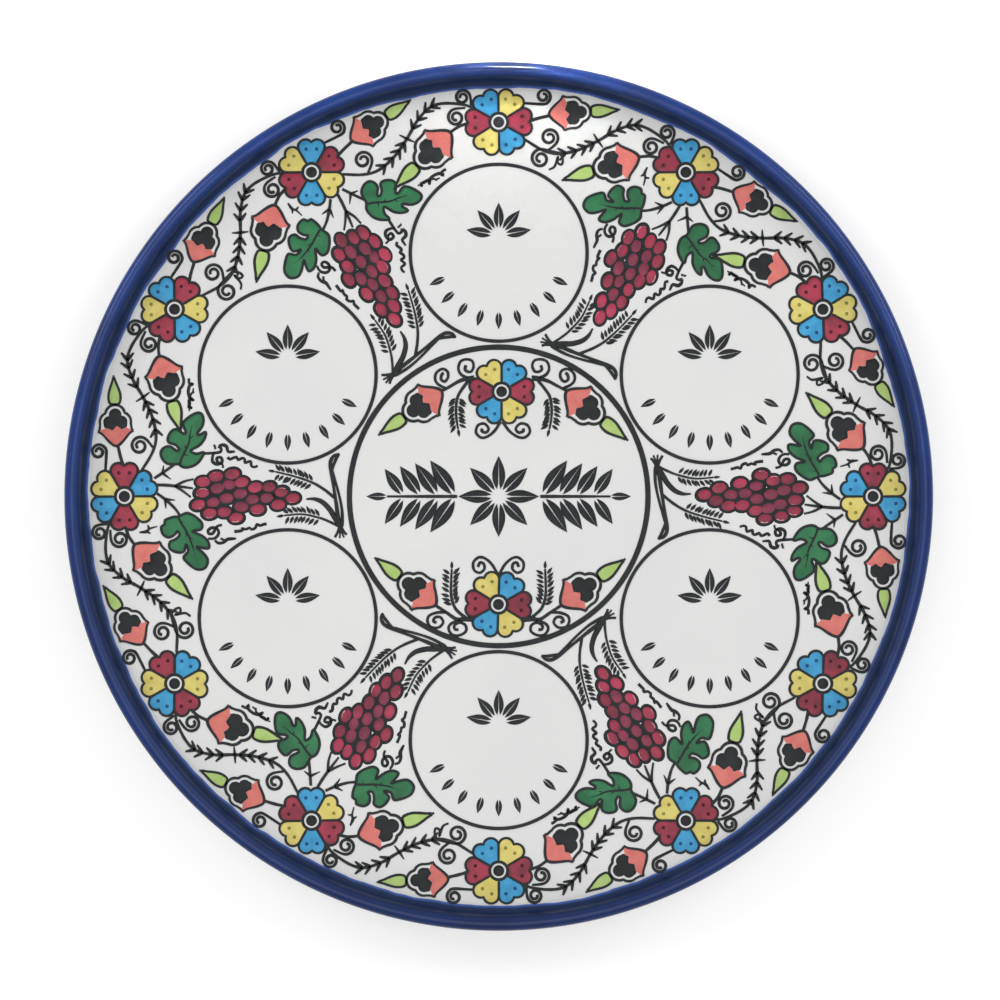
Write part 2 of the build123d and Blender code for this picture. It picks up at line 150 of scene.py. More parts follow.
def stampTree():
    tree, enter, leave = treeWith("stampMotif", "GeometryNodeTree", [
        ("Geometry", "Geometry", None), ("Motif", "Object", None), ("Turn Play", "Float", 0.0),
        ("Size Play", "Float", 0.0), ("Seed", "Int", 1), ("Material", "Material", None)],
        [("Geometry", "Geometry")])
    toPoints = addNode(tree, "GeometryNodeMeshToPoints")
    motif = addNode(tree, "GeometryNodeObjectInfo")
    turn = addNode(tree, "GeometryNodeInputNamedAttribute", {"Name": "turn"}, data_type="FLOAT")
    size = addNode(tree, "GeometryNodeInputNamedAttribute", {"Name": "size"}, data_type="FLOAT")
    turnPlay = addNode(tree, "FunctionNodeRandomValue", {2: -1.0}, data_type="FLOAT")
    sizePlay = addNode(tree, "FunctionNodeRandomValue", {2: -1.0}, data_type="FLOAT")
    nextSeed = addNode(tree, "ShaderNodeMath", {1: 17}, operation="ADD")
    turned = addNode(tree, "ShaderNodeMath", operation="MULTIPLY_ADD")
    grown = addNode(tree, "ShaderNodeMath", {2: 1.0}, operation="MULTIPLY_ADD")
    sized = addNode(tree, "ShaderNodeMath", operation="MULTIPLY")
    about = addNode(tree, "ShaderNodeCombineXYZ")
    rotation = addNode(tree, "FunctionNodeEulerToRotation")
    stamp = addNode(tree, "GeometryNodeInstanceOnPoints")
    tint = addNode(tree, "FunctionNodeRandomValue", data_type="FLOAT")
    store = addNode(tree, "GeometryNodeStoreNamedAttribute", {"Name": "tint"}, data_type="FLOAT",
                    domain="INSTANCE")
    wire(tree, (enter, "Geometry", toPoints, "Mesh"), (toPoints, "Points", stamp, "Points"),
         (enter, "Motif", motif, "Object"), (motif, "Geometry", stamp, "Instance"))
    # each copy has its own turn and size, with a little play, and its own tint
    wire(tree, (enter, "Seed", turnPlay, "Seed"), (enter, "Seed", nextSeed, 0),
         (nextSeed, 0, sizePlay, "Seed"), (enter, "Seed", tint, "Seed"), (turnPlay, 1, turned, 0),
         (enter, "Turn Play", turned, 1), (turn, "Attribute", turned, 2), (turned, 0, about, "Z"),
         (about, "Vector", rotation, "Euler"), (rotation, "Rotation", stamp, "Rotation"),
         (sizePlay, 1, grown, 0), (enter, "Size Play", grown, 1), (size, "Attribute", sized, 0),
         (grown, 0, sized, 1), (sized, 0, stamp, "Scale"), (stamp, "Instances", store, "Geometry"),
         (tint, 1, store, "Value"))
    return endTree(tree, enter, leave, store)


def turnedTree():
    tree, enter, leave = treeWith("turnedLayer", "GeometryNodeTree", [
        ("Geometry", "Geometry", None), ("Wheel Radius", "Float", 0.1), ("Steps", "Int", 240),
        ("Material", "Material", None)], [("Geometry", "Geometry")])
    section = addNode(tree, "GeometryNodeMeshToCurve")
    wheel = addNode(tree, "GeometryNodeCurvePrimitiveCircle")
    upright = addNode(tree, "GeometryNodeSetCurveNormal", mode="Z_UP")
    sweep = addNode(tree, "GeometryNodeCurveToMesh")
    merge = addNode(tree, "GeometryNodeMergeByDistance", {"Distance": 0.000001})
    wire(tree, (enter, "Geometry", section, "Mesh"), (enter, "Steps", wheel, "Resolution"),
         (enter, "Wheel Radius", wheel, "Radius"), (wheel, "Curve", upright, "Curve"),
         (upright, "Curve", sweep, "Curve"), (section, "Curve", sweep, "Profile Curve"),
         (sweep, "Mesh", merge, "Geometry"))
    return endTree(tree, enter, leave, merge)


inkStroke = inkStrokeTree()
stampMotif = stampTree()
turnedLayer = turnedTree()


def runTree(tree, carrierMesh, values):
    carrier = bpy.data.objects.new("carrier", carrierMesh)
    bpy.context.scene.collection.objects.link(carrier)
    modifier = carrier.modifiers.new("build", "NODES")
    modifier.node_group = tree
    sockets = {item.name: item.identifier for item in tree.interface.items_tree if item.in_out == "INPUT"}
    for label, value in values.items():
        modifier[sockets[label]] = value
    bpy.context.view_layer.update()
    depsgraph = bpy.context.evaluated_depsgraph_get()
    made = bpy.data.meshes.new_from_object(carrier.evaluated_get(depsgraph))
    carrier.modifiers.remove(modifier)
    bpy.data.objects.remove(carrier)
    bpy.data.meshes.remove(carrierMesh)
    return made


def setPointValues(mesh, label, values):
    layer = mesh.attributes.new(label, "FLOAT", "POINT")
    layer.data.foreach_set("value", np.asarray(values, np.float32))


# drawing helpers, all in millimetres and degrees

inkBoost = 1.22      # the brush spreads a little beyond the drawn width
triangleRow = 0.866      # height of a row in a pattern of equal triangles
tiny = 1e-12


def smoothPath(points, closed=False, step=0.6):
    knots = [np.array(p, float) for p in points]
    count = len(knots)
    found = []
    for i in range(count if closed else count - 1):
        here, there = knots[i], knots[(i + 1) % count]
        before = knots[i - 1] if closed or i > 0 else 2 * here - there
        after = knots[(i + 2) % count] if closed or i + 2 < count else 2 * there - here
        cuts = max(2, math.ceil(np.linalg.norm(there - here) / step))
        for k in range(cuts):
            t = k / cuts
            found.append(0.5 * (2 * here + (there - before) * t
                                + (2 * before - 5 * here + 4 * there - after) * t * t
                                + (3 * here - before - 3 * there + after) * t ** 3))
    if not closed:
        found.append(knots[-1])
    return np.array(found)


def stroke(points, widths, closed=False, step=0.6, smooth=True):
    path = smoothPath(points, closed, step) if smooth else np.array(points, float)
    along = np.linspace(0, 1, len(path))
    return path, inkBoost * np.interp(along, np.linspace(0, 1, len(widths)), widths), closed


def outline(loop, width):
    return stroke(loop, (width, width), closed=True, smooth=False)


def exactLoop(loop, width):
    # a closed line without the brush's spread
    return loop, np.full(len(loop), width), True


def curl(root, centre, radius, turns=1.55, width=0.95, windIn=0.72, knots=15):
    away = (root[0] - centre[0], root[1] - centre[1])
    reach = math.hypot(*away)
    entry = math.atan2(away[1], away[0]) + math.acos(min(1.0, radius / reach))
    along = np.linspace(0, 1, knots)
    angles = entry + 2 * math.pi * turns * along
    radii = radius * (1 - windIn * along)
    wound = np.stack([centre[0] + radii * np.cos(angles), centre[1] + radii * np.sin(angles)], 1)
    return stroke([root, *wound], (0.8 * width, width, width, width, 0.95 * width), step=0.5)


def squiggle(start, end, loops, size, width):
    start, end = np.array(start, float), np.array(end, float)
    along = np.linspace(0, 1, loops * 8 + 1)
    ahead = (end - start) / np.linalg.norm(end - start)
    across = np.array([-ahead[1], ahead[0]])
    wave = 2 * math.pi * loops * along
    fade = np.sin(math.pi * np.clip(along * 1.15, 0, 1)) ** 0.5      # the loops grow and die away
    path = (start + np.outer(along, end - start) + np.outer(size * fade * np.sin(wave), ahead)
            + np.outer(size * fade * np.cos(wave), across))
    return stroke(path, (0.6 * width, width, width, 0.6 * width), step=0.4)


def moved(path, place=(0, 0), turn=0.0, size=1.0):
    c, s = math.cos(math.radians(turn)), math.sin(math.radians(turn))
    path = np.asarray(path, float) * size
    x, y = path[:, 0], path[:, 1]
    return np.stack([x * c - y * s + place[0], x * s + y * c + place[1]], 1)


def turnedSpot(x, y, turn):
    return moved([(x, y)], turn=turn)[0]


def turnedStrokes(strokes, turns):
    return [(moved(path, turn=turn), widths, closed) for turn in turns for path, widths, closed in strokes]


def inSectors(strokes, angles):
    # sectors are drawn upright, as the one at 90 degrees stands
    return turnedStrokes(strokes, [angle - 90 for angle in angles])


def headingOf(ahead):
    return math.degrees(math.atan2(ahead[1], ahead[0]))


def arcPoints(centre, radius, start, end, count):
    angles = np.radians(np.linspace(start, end, count))
    return np.stack([centre[0] + radius * np.cos(angles), centre[1] + radius * np.sin(angles)], 1)


def circlePoints(radius, count):
    return arcPoints((0, 0), radius, 0, 360, count + 1)[:-1]


def starUnion(centre, circles, angles):
    # the outline of several circles, as seen from a point inside them
    outer = []
    for angle in np.radians(angles):
        ray = np.array([math.cos(angle), math.sin(angle)])
        best = 0.0
        for x, y, radius in circles:
            offset = np.array([x, y]) - centre
            ahead = offset @ ray
            miss = offset @ offset - ahead * ahead
            if miss < radius * radius:
                best = max(best, ahead + math.sqrt(radius * radius - miss))
        outer.append(centre + best * ray)
    return np.array(outer)


# raw shapes: lists of points and faces, in millimetres, drawn at height 0

def edgeDistance(spots, loop):
    following = np.roll(loop, -1, axis=0)
    span = following - loop
    length = np.maximum((span ** 2).sum(1), tiny)
    t = np.clip(((spots[:, None] - loop) * span).sum(2) / length, 0, 1)
    near = loop + t[:, :, None] * span
    return np.sqrt(((spots[:, None] - near) ** 2).sum(2)).min(1)


def insideLoop(spots, loop):
    following = np.roll(loop, -1, axis=0)
    x, y = spots[:, :1], spots[:, 1:]
    crosses = (loop[:, 1] > y) != (following[:, 1] > y)
    drop = np.where(following[:, 1] == loop[:, 1], tiny, following[:, 1] - loop[:, 1])
    at = loop[:, 0] + (y - loop[:, 1]) / drop * (following[:, 0] - loop[:, 0])
    return (crosses & (x < at)).sum(1) % 2 == 1


def domedFill(loop, rise=0.25, spacing=0.9, edge=0.6, sink=0.1):
    # a pillow of enamel with a low wall round it, closed underneath
    loop = np.asarray(loop, float)
    if np.sum(loop[:, 0] * np.roll(loop[:, 1], -1) - np.roll(loop[:, 0], -1) * loop[:, 1]) < 0:
        loop = loop[::-1]
    low, high = loop.min(0), loop.max(0)
    rows = np.arange(low[1], high[1], spacing * triangleRow)
    spots = np.array([(x + (row % 2) * spacing / 2, y) for row, y in enumerate(rows)
                      for x in np.arange(low[0], high[0], spacing)])
    if len(spots):
        spots = spots[insideLoop(spots, loop)]
    if len(spots):
        spots = spots[edgeDistance(spots, loop) > 0.5 * spacing]
    count = len(loop)
    flat = [Vector(p) for p in loop] + [Vector(p) for p in spots]
    rim = [(i, (i + 1) % count) for i in range(count)]
    points, _, faces, sources, _, _ = delaunay_2d_cdt(flat, rim, [list(range(count))], 1, 1e-5)
    plan = np.array([(p[0], p[1]) for p in points])
    depth = np.clip(edgeDistance(plan, loop) / edge, 0, 1)
    height = rise * (0.45 + 0.55 * np.sqrt(1 - (1 - depth) ** 2))      # the wall, and the crown on it
    where = {source: index for index, group in enumerate(sources) for source in group}
    brim = [where[i] for i in range(count)]
    base = list(range(len(plan), len(plan) + count))
    walls = [[brim[i], base[i], base[(i + 1) % count], brim[(i + 1) % count]] for i in range(count)]
    solid = [list(face) for face in faces] + walls + [base[::-1]]
    spots = np.concatenate([np.column_stack([plan, height]), np.column_stack([loop, np.full(count, -sink)])])
    return spots, solid


def joinShapes(shapes):
    points, faces, offset = [], [], 0
    for shapePoints, shapeFaces in shapes:
        points.append(np.asarray(shapePoints, float).reshape(-1, 3))
        faces += [[i + offset for i in face] for face in shapeFaces]
        offset += len(points[-1])
    return np.concatenate(points), faces


def turnedShape(shape, turn):
    points, faces = shape
    return np.column_stack([moved(points[:, :2], turn=turn), points[:, 2]]), faces


def inkShape(strokes, rise=0.35, sides=8, wobble=0.08, sink=0.1):
    points, edges, widths = [], [], []
    for path, pathWidths, closed in strokes:
        first = len(points)
        points += [(x * mm, y * mm, 0.0) for x, y in path]
        widths += [w * mm for w in pathWidths]
        edges += [(i, i + 1) for i in range(first, len(points) - 1)]
        if closed:
            edges.append((len(points) - 1, first))
    mesh = bpy.data.meshes.new("strokePaths")
    mesh.from_pydata(points, edges, [])
    setPointValues(mesh, "width", widths)
    made = runTree(inkStroke, mesh, {"Sides": sides, "Rise": rise * mm, "Sink": sink * mm, "Wobble": wobble})
    found = np.zeros(len(made.vertices) * 3)
    made.vertices.foreach_get("co", found)
    faces = [list(polygon.vertices) for polygon in made.polygons]
    bpy.data.meshes.remove(made)
    return found.reshape(-1, 3) / mm, faces


# finishing: from raw shapes to pieces that ride on the plate

pieceCount = 0
sharpAngle = 50.0
drawnInPlace = [(0, 0, 0, 1)]


def finishPiece(name, mesh, nodes=()):
    global pieceCount
    tidy = bmesh.new()
    tidy.from_mesh(mesh)
    bmesh.ops.recalc_face_normals(tidy, faces=tidy.faces[:])
    tidy.to_mesh(mesh)
    tidy.free()
    mesh.shade_smooth()
    mesh.set_sharp_from_angle(angle=math.radians(sharpAngle))
    piece = bpy.data.objects.new(name, mesh)
    bpy.context.scene.collection.objects.link(piece)
    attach(piece, "root")
    if nodes:
        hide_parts(*nodes)
    pieceCount += 1
    return piece


def stampPiece(name, shape, places, material, slotName, nodes=(), seed=1, turnPlay=0.0, sizePlay=0.0):
    # places are (x, y, turn in degrees, size), on the plate's face
    points, faces = shape
    motifMesh = bpy.data.meshes.new(name + "Motif")
    motifMesh.from_pydata([tuple(p) for p in np.asarray(points) * mm], [], faces)
    motif = bpy.data.objects.new(name + "Motif", motifMesh)
    bpy.context.scene.collection.objects.link(motif)
    carrier = bpy.data.meshes.new(name + "Places")
    carrier.from_pydata([(x * mm, y * mm, faceTop * mm) for x, y, _, _ in places], [], [])
    setPointValues(carrier, "turn", [math.radians(turn) for _, _, turn, _ in places])
    setPointValues(carrier, "size", [size for _, _, _, size in places])
    mesh = runTree(stampMotif, carrier, {"Motif": motif, "Turn Play": math.radians(turnPlay),
                                         "Size Play": sizePlay, "Seed": seed, "Material": material})
    bpy.data.objects.remove(motif)
    bpy.data.meshes.remove(motifMesh)
    mesh.name = name
    return finishPiece(name, mesh, nodes)


def inkPiece(name, shape, places, nodes=(), **play):
    return stampPiece(name, shape, places, blackEnamel, "black_enamel", nodes, **play)


def turnedPiece(name, section, closed, material, nodes=(), steps=300):
    wheel = 100.0      # the section is swept along a circle of this radius
    mesh = bpy.data.meshes.new(name + "Section")
    points = [((r - wheel) * mm, -z * mm, 0.0) for r, z in section]
    edges = [(i, i + 1) for i in range(len(points) - 1)]
    if closed:
        edges.append((len(points) - 1, 0))
    mesh.from_pydata(points, edges, [])
    made = runTree(turnedLayer, mesh, {"Wheel Radius": wheel * mm, "Steps": steps, "Material": material})
    made.name = name
    return finishPiece(name, made, nodes)


def aroundPlate(count):
    # a sector's own origin is the plate's centre, so every copy is only turned
    return [(0.0, 0.0, index * 360 / count - 90, 1.0) for index in range(count)]


def sectorPlace(angle, spot, turn, size=1.0):
    return (*turnedSpot(*spot, angle - 90), turn + angle - 90, size)


# finishes

def mottleGroup():
    tree, enter, leave = treeWith("glazeMottle", "ShaderNodeTree", [
        ("Light", "Color", (0.8, 0.8, 0.8, 1)), ("Deep", "Color", (0.6, 0.6, 0.6, 1)),
        ("Patch Scale", "Float", 60.0), ("Patch Low", "Float", 0.35), ("Patch High", "Float", 0.7),
        ("Grain Scale", "Float", 900.0), ("Grain", "Float", 0.06), ("Tint Play", "Float", 0.0),
    ], [("Color", "Color"), ("Height", "Float"), ("Gloss", "Float")])
    coords = addNode(tree, "ShaderNodeTexCoord")
    patch = addNode(tree, "ShaderNodeTexNoise", {"Detail": 3.0, "Roughness": 0.55})
    spread = addNode(tree, "ShaderNodeMapRange")
    mix = addNode(tree, "ShaderNodeMix", data_type="RGBA")
    grain = addNode(tree, "ShaderNodeTexNoise", {"Detail": 2.0})
    grainCentred = addNode(tree, "ShaderNodeMath", {1: 0.5}, operation="SUBTRACT")
    grainShare = addNode(tree, "ShaderNodeMath", operation="MULTIPLY")
    tint = addNode(tree, "ShaderNodeAttribute", attribute_name="tint")
    tintCentred = addNode(tree, "ShaderNodeMath", {1: 0.5}, operation="SUBTRACT")
    tintShare = addNode(tree, "ShaderNodeMath", operation="MULTIPLY")
    play = addNode(tree, "ShaderNodeMath", operation="ADD")
    value = addNode(tree, "ShaderNodeMath", {1: 1.0}, operation="ADD")
    shade = addNode(tree, "ShaderNodeHueSaturation")
    height = addNode(tree, "ShaderNodeMath", {1: 0.35}, operation="MULTIPLY_ADD")
    wire(tree, (coords, "Object", patch, "Vector"), (enter, "Patch Scale", patch, "Scale"),
         (coords, "Object", grain, "Vector"), (enter, "Grain Scale", grain, "Scale"),
         (patch, "Fac", spread, "Value"), (enter, "Patch Low", spread, "From Min"),
         (enter, "Patch High", spread, "From Max"), (spread, "Result", mix, "Factor"),
         (enter, "Light", mix, 6), (enter, "Deep", mix, 7))
    # grain and tint make the colour a little lighter or darker
    wire(tree, (grain, "Fac", grainCentred, 0), (grainCentred, 0, grainShare, 0),
         (enter, "Grain", grainShare, 1), (tint, "Fac", tintCentred, 0), (tintCentred, 0, tintShare, 0),
         (enter, "Tint Play", tintShare, 1), (grainShare, 0, play, 0), (tintShare, 0, play, 1),
         (play, 0, value, 0), (value, 0, shade, "Value"), (mix, 2, shade, "Color"),
         (shade, "Color", leave, "Color"), (grain, "Fac", height, 0), (patch, "Fac", height, 2),
         (height, 0, leave, "Height"), (spread, "Result", leave, "Gloss"))
    return tree


def ringGroup():
    # how far a point lies from the plate's axis, with a ragged edge, as a mask from 0 to 1
    tree, enter, leave = treeWith("ringMask", "ShaderNodeTree", [
        ("From Radius", "Float", 0.139), ("To Radius", "Float", 0.142), ("Ragged", "Float", 0.002),
        ("Ragged Scale", "Float", 90.0)], [("Mask", "Float")])
    coords = addNode(tree, "ShaderNodeTexCoord")
    split = addNode(tree, "ShaderNodeSeparateXYZ")
    flat = addNode(tree, "ShaderNodeCombineXYZ")
    length = addNode(tree, "ShaderNodeVectorMath", operation="LENGTH")
    noise = addNode(tree, "ShaderNodeTexNoise", {"Detail": 3.0})
    centred = addNode(tree, "ShaderNodeMath", {1: 0.5}, operation="SUBTRACT")
    shift = addNode(tree, "ShaderNodeMath", operation="MULTIPLY_ADD")
    spread = addNode(tree, "ShaderNodeMapRange", interpolation_type="SMOOTHSTEP")
    wire(tree, (coords, "Object", split, 0), (split, "X", flat, "X"), (split, "Y", flat, "Y"),
         (flat, "Vector", length, 0), (coords, "Object", noise, "Vector"),
         (enter, "Ragged Scale", noise, "Scale"), (noise, "Fac", centred, 0), (centred, 0, shift, 0),
         (enter, "Ragged", shift, 1), (length, "Value", shift, 2), (shift, 0, spread, "Value"),
         (enter, "From Radius", spread, "From Min"), (enter, "To Radius", spread, "From Max"),
         (spread, "Result", leave, "Mask"))
    return tree


glazeMottle = mottleGroup()
ringMask = ringGroup()


def rgba(red, green, blue):
    return (red, green, blue, 1.0)


def startFinish(name, tones, patch, grain, smooth, rough, bump, coat=0.0, mirror=0.5, tint=0.0):
    # tones are light and deep, patch is scale, low and high, grain is scale and strength
    material = bpy.data.materials.new(name)
    material.use_nodes = True
    tree = material.node_tree
    shader = tree.nodes["Principled BSDF"]
    shader.inputs["Coat Weight"].default_value = coat
    shader.inputs["Coat Roughness"].default_value = 0.06
    shader.inputs["Specular IOR Level"].default_value = mirror
    mottle = addNode(tree, "ShaderNodeGroup", {
        "Light": tones[0], "Deep": tones[1], "Patch Scale": patch[0], "Patch Low": patch[1],
        "Patch High": patch[2], "Grain Scale": grain[0], "Grain": grain[1], "Tint Play": tint,
    }, node_tree=glazeMottle)
    gloss = addNode(tree, "ShaderNodeMapRange", {"To Min": smooth, "To Max": rough})
    relief = addNode(tree, "ShaderNodeBump", {"Strength": bump, "Distance": 0.0004})
    wire(tree, (mottle, "Gloss", gloss, "Value"), (gloss, "Result", shader, "Roughness"),
         (mottle, "Height", relief, "Height"), (relief, "Normal", shader, "Normal"),
         (mottle, "Color", shader, "Base Color"))
    return material, shader, mottle, gloss


def ringNode(tree, fromRadius, toRadius, ragged):
    return addNode(tree, "ShaderNodeGroup", {"From Radius": fromRadius * mm, "To Radius": toRadius * mm,
                                             "Ragged": ragged, "Ragged Scale": 45.0}, node_tree=ringMask)


whiteTone = rgba(0.755, 0.757, 0.745)
raggedEdge, raggedShadeEdge = 0.0034, 0.0014


def makeWhiteGlaze():
    # the cobalt bleeds a little into the white beside it
    look = {"bleed": rgba(0.16, 0.27, 0.62), "bleedFrom": -0.6, "bleedTo": 1.0}
    material, shader, mottle, _ = startFinish(
        "whiteGlaze", (whiteTone, rgba(0.70, 0.705, 0.70)), (26.0, 0.4, 0.85), (1400.0, 0.05),
        smooth=0.10, rough=0.18, bump=0.05, coat=0.3)
    tree = material.node_tree
    ring = ringNode(tree, faceRadius + look["bleedFrom"], faceRadius + look["bleedTo"], raggedEdge)
    bleed = addNode(tree, "ShaderNodeMix", {7: look["bleed"]}, data_type="RGBA")
    wire(tree, (mottle, "Color", bleed, 6), (ring, "Mask", bleed, "Factor"), (bleed, 2, shader, "Base Color"))
    return material


def makeCobaltGlaze():
    # white under its ragged inner edge, a bright seam, painted shade in the cove inside the crest, lighter
    # over the crest
    look = {"crest": rgba(0.012, 0.048, 0.245), "wall": rgba(0.008, 0.029, 0.150),
            "cove": rgba(0.006, 0.022, 0.080), "seam": rgba(0.045, 0.115, 0.42), "edge": 142.0,
            "edgeWidth": 0.35, "seamFrom": 0.5, "seamWidth": 1.3, "crestFrom": 143.9, "crestTo": 146.8,
            "dullFrom": 145.6, "innerRough": 0.55, "paintedShadeSide": 0.5, "paintedLightSide": 1.05, "gatherHeight": 2.2,
            "gatherFrom": 2.0, "gatherTo": 1.5}
    material, shader, mottle, gloss = startFinish(
        "cobaltGlaze", (look["crest"], look["wall"]), (45.0, 0.38, 0.72), (1600.0, 0.25),
        smooth=0.12, rough=0.17, bump=0.03, mirror=0.32)
    tree = material.node_tree

    def radialMix(fromRadius, toRadius, ragged, inside, outside):
        mask = ringNode(tree, fromRadius, toRadius, ragged)
        mix = addNode(tree, "ShaderNodeMix", {6: inside}, data_type="RGBA")
        wire(tree, (mask, "Mask", mix, "Factor"), (*outside, mix, 7))
        return mix, 2

    # painted shade: the cobalt is darker towards the plate's -Y side and lighter towards +Y, standing for
    # light that falls from the +Y side
    coords = addNode(tree, "ShaderNodeTexCoord")
    split = addNode(tree, "ShaderNodeSeparateXYZ")
    across = addNode(tree, "ShaderNodeMapRange", {"From Min": -plateRadius * mm, "From Max": plateRadius * mm,
                                                  "To Min": look["paintedShadeSide"], "To Max": look["paintedLightSide"]})
    # painted shade: this ramp across Y scales the cobalt's colour
    depth = addNode(tree, "ShaderNodeVectorMath", operation="SCALE")
    wire(tree, (coords, "Object", split, 0), (split, "Y", across, "Value"), (mottle, "Color", depth, 0),
         (across, "Result", depth, "Scale"))

    # painted shade: inside the crest the cobalt takes the dark cove tone, for the shade on the steep inner
    # wall
    coveShaded = radialMix(look["crestFrom"], look["crestTo"], raggedShadeEdge, look["cove"], (depth, "Vector"))
    seamed = radialMix(look["edge"] + look["seamFrom"], look["edge"] + look["seamWidth"], raggedEdge,
                       look["seam"], coveShaded)
    edged = radialMix(look["edge"], look["edge"] + look["edgeWidth"], raggedEdge, whiteTone, seamed)

    # duller on the steep inner side, so that it shows no picture of the border
    dull = addNode(tree, "ShaderNodeMix", {2: look["innerRough"]}, data_type="FLOAT")
    dullMask = ringNode(tree, look["dullFrom"], look["crestTo"], 0.0)
    wire(tree, (dullMask, "Mask", dull, "Factor"), (gloss, "Result", dull, 3), (dull, 0, shader, "Roughness"))

    # dark again where it gathers at its lower edge, on the outside only
    low = addNode(tree, "ShaderNodeMapRange", {"From Min": cobaltEdge * mm,
                                               "From Max": (cobaltEdge + look["gatherHeight"]) * mm})
    upper = addNode(tree, "ShaderNodeMapRange", {"From Min": (plateRadius - look["gatherFrom"]) * mm,
                                                 "From Max": (plateRadius - look["gatherTo"]) * mm})
    ring = addNode(tree, "ShaderNodeVectorMath", operation="LENGTH")
    flat = addNode(tree, "ShaderNodeCombineXYZ")
    outsideOnly = addNode(tree, "ShaderNodeMath", operation="MULTIPLY")
    gather = addNode(tree, "ShaderNodeMix", {7: look["cove"]}, data_type="RGBA")
    fade = addNode(tree, "ShaderNodeMath", {0: 1.0}, operation="SUBTRACT")
    wire(tree, (split, "X", flat, "X"), (split, "Y", flat, "Y"), (flat, "Vector", ring, 0),
         (ring, "Value", upper, "Value"), (split, "Z", low, "Value"), (low, "Result", fade, 1),
         (fade, 0, outsideOnly, 0), (upper, "Result", outsideOnly, 1), (outsideOnly, 0, gather, "Factor"),
         (*edged, gather, 6), (gather, 2, shader, "Base Color"))
    return material


def makeEnamel(name, light, deep, patch=240.0, tint=0.12, smooth=0.22, rough=0.34, mirror=0.28):
    return startFinish(name, (rgba(*light), rgba(*deep)), (patch, 0.38, 0.68), (2200.0, 0.14), smooth, rough,
                       bump=0.12, mirror=mirror, tint=tint)[0]


whiteGlaze = makeWhiteGlaze()
backGlaze = startFinish("backGlaze", (rgba(0.74, 0.735, 0.70), rgba(0.66, 0.65, 0.60)), (20.0, 0.35, 0.8),
                        (1100.0, 0.12), smooth=0.12, rough=0.24, bump=0.08, coat=0.2)[0]
cobaltGlaze = makeCobaltGlaze()
bareClay = startFinish("bareClay", (rgba(0.60, 0.47, 0.34), rgba(0.50, 0.37, 0.26)), (90.0, 0.3, 0.75),
                       (2600.0, 0.5), smooth=0.75, rough=0.92, bump=0.5)[0]
blackEnamel = makeEnamel("blackEnamel", (0.012, 0.015, 0.017), (0.024, 0.028, 0.031), patch=170.0, tint=0.0,
                         smooth=0.32, rough=0.42, mirror=0.2)
redEnamel = makeEnamel("redEnamel", (0.38, 0.030, 0.066), (0.19, 0.024, 0.042), patch=150.0, tint=0.4)
yellowEnamel = makeEnamel("yellowEnamel", (0.76, 0.655, 0.185), (0.66, 0.55, 0.13))
blueEnamel = makeEnamel("blueEnamel", (0.050, 0.37, 0.66), (0.030, 0.28, 0.55))
coralEnamel = makeEnamel("coralEnamel", (0.74, 0.20, 0.165), (0.66, 0.155, 0.14))
limeEnamel = makeEnamel("limeEnamel", (0.47, 0.63, 0.20), (0.37, 0.55, 0.14))
leafEnamel = makeEnamel("leafEnamel", (0.022, 0.190, 0.070), (0.014, 0.120, 0.045), patch=110.0)
grapeEnamel = makeEnamel("grapeEnamel", (0.44, 0.040, 0.088), (0.19, 0.026, 0.050), patch=110.0, tint=0.35)
# painted highlight: a pale pink for the glints on the grapes
paintedGlintEnamel = makeEnamel("paintedGlintEnamel", (0.76, 0.46, 0.49), (0.60, 0.22, 0.27), patch=400.0)
deepGrapeEnamel = makeEnamel("deepGrapeEnamel", (0.27, 0.035, 0.075), (0.15, 0.026, 0.050))
oliveEnamel = makeEnamel("oliveEnamel", (0.34, 0.29, 0.055), (0.26, 0.21, 0.04))
navyEnamel = makeEnamel("navyEnamel", (0.015, 0.11, 0.27), (0.01, 0.07, 0.19))
wineEnamel = makeEnamel("wineEnamel", (0.085, 0.010, 0.020), (0.06, 0.008, 0.014))
print("finishes made:", len(bpy.data.materials))


# turned layers

plateShape = {"crestRadius": 2.6, "coveRadius": 2.9, "wallRadius": 16.4, "glaze": 0.5, "footOuter": 100.0,
              "footTaper": 1.2, "footRound": 0.7, "feather": 0.8, "featherLow": 0.05, "featherHigh": 0.03,
              "coveLift": 0.04, "coveCuts": 12, "crestCuts": 25, "wallCuts": 26, "footCuts": 5,
              "rimSteps": 360, "backSteps": 300, "claySteps": 240}
crestHeight = lipTop - plateShape["crestRadius"]
glaze = plateShape["glaze"]


def surfaceLine(inset):
    # from the cove's foot over the crest and down the outside to the underside
    cove = arcPoints((faceRadius, faceTop + plateShape["coveRadius"]), plateShape["coveRadius"] + inset, 270,
                     360, plateShape["coveCuts"])
    crest = arcPoints((plateRadius - plateShape["crestRadius"], crestHeight),
                      plateShape["crestRadius"] - inset, 180, 0, plateShape["crestCuts"])
    outside = arcPoints((plateRadius - plateShape["wallRadius"], crestHeight),
                        plateShape["wallRadius"] - inset, 360, 270, plateShape["wallCuts"])
    return np.concatenate([cove, crest, outside[1:]])


def cutAt(line, height, keepAbove):
    kept = []
    for here, there in zip(line[:-1], line[1:]):
        inHere = (here[1] >= height) == keepAbove
        inThere = (there[1] >= height) == keepAbove
        if inHere:
            kept.append(here)
        if inHere != inThere:
            t = (height - here[1]) / (there[1] - here[1])
            kept.append(here + t * (there - here))
    if (line[-1][1] >= height) == keepAbove:
        kept.append(line[-1])
    return np.array(kept)


outerLine, clayLine = surfaceLine(0.0), surfaceLine(glaze)
outsideStart = plateShape["coveCuts"] + plateShape["crestCuts"] - 1
rimOuter, rimInner = [np.concatenate([line[:outsideStart], cutAt(line[outsideStart:], cobaltEdge, True)])
                      for line in (outerLine, clayLine)]
backOuter, backInner = [cutAt(line[outsideStart:], cobaltEdge, False) for line in (outerLine, clayLine)]
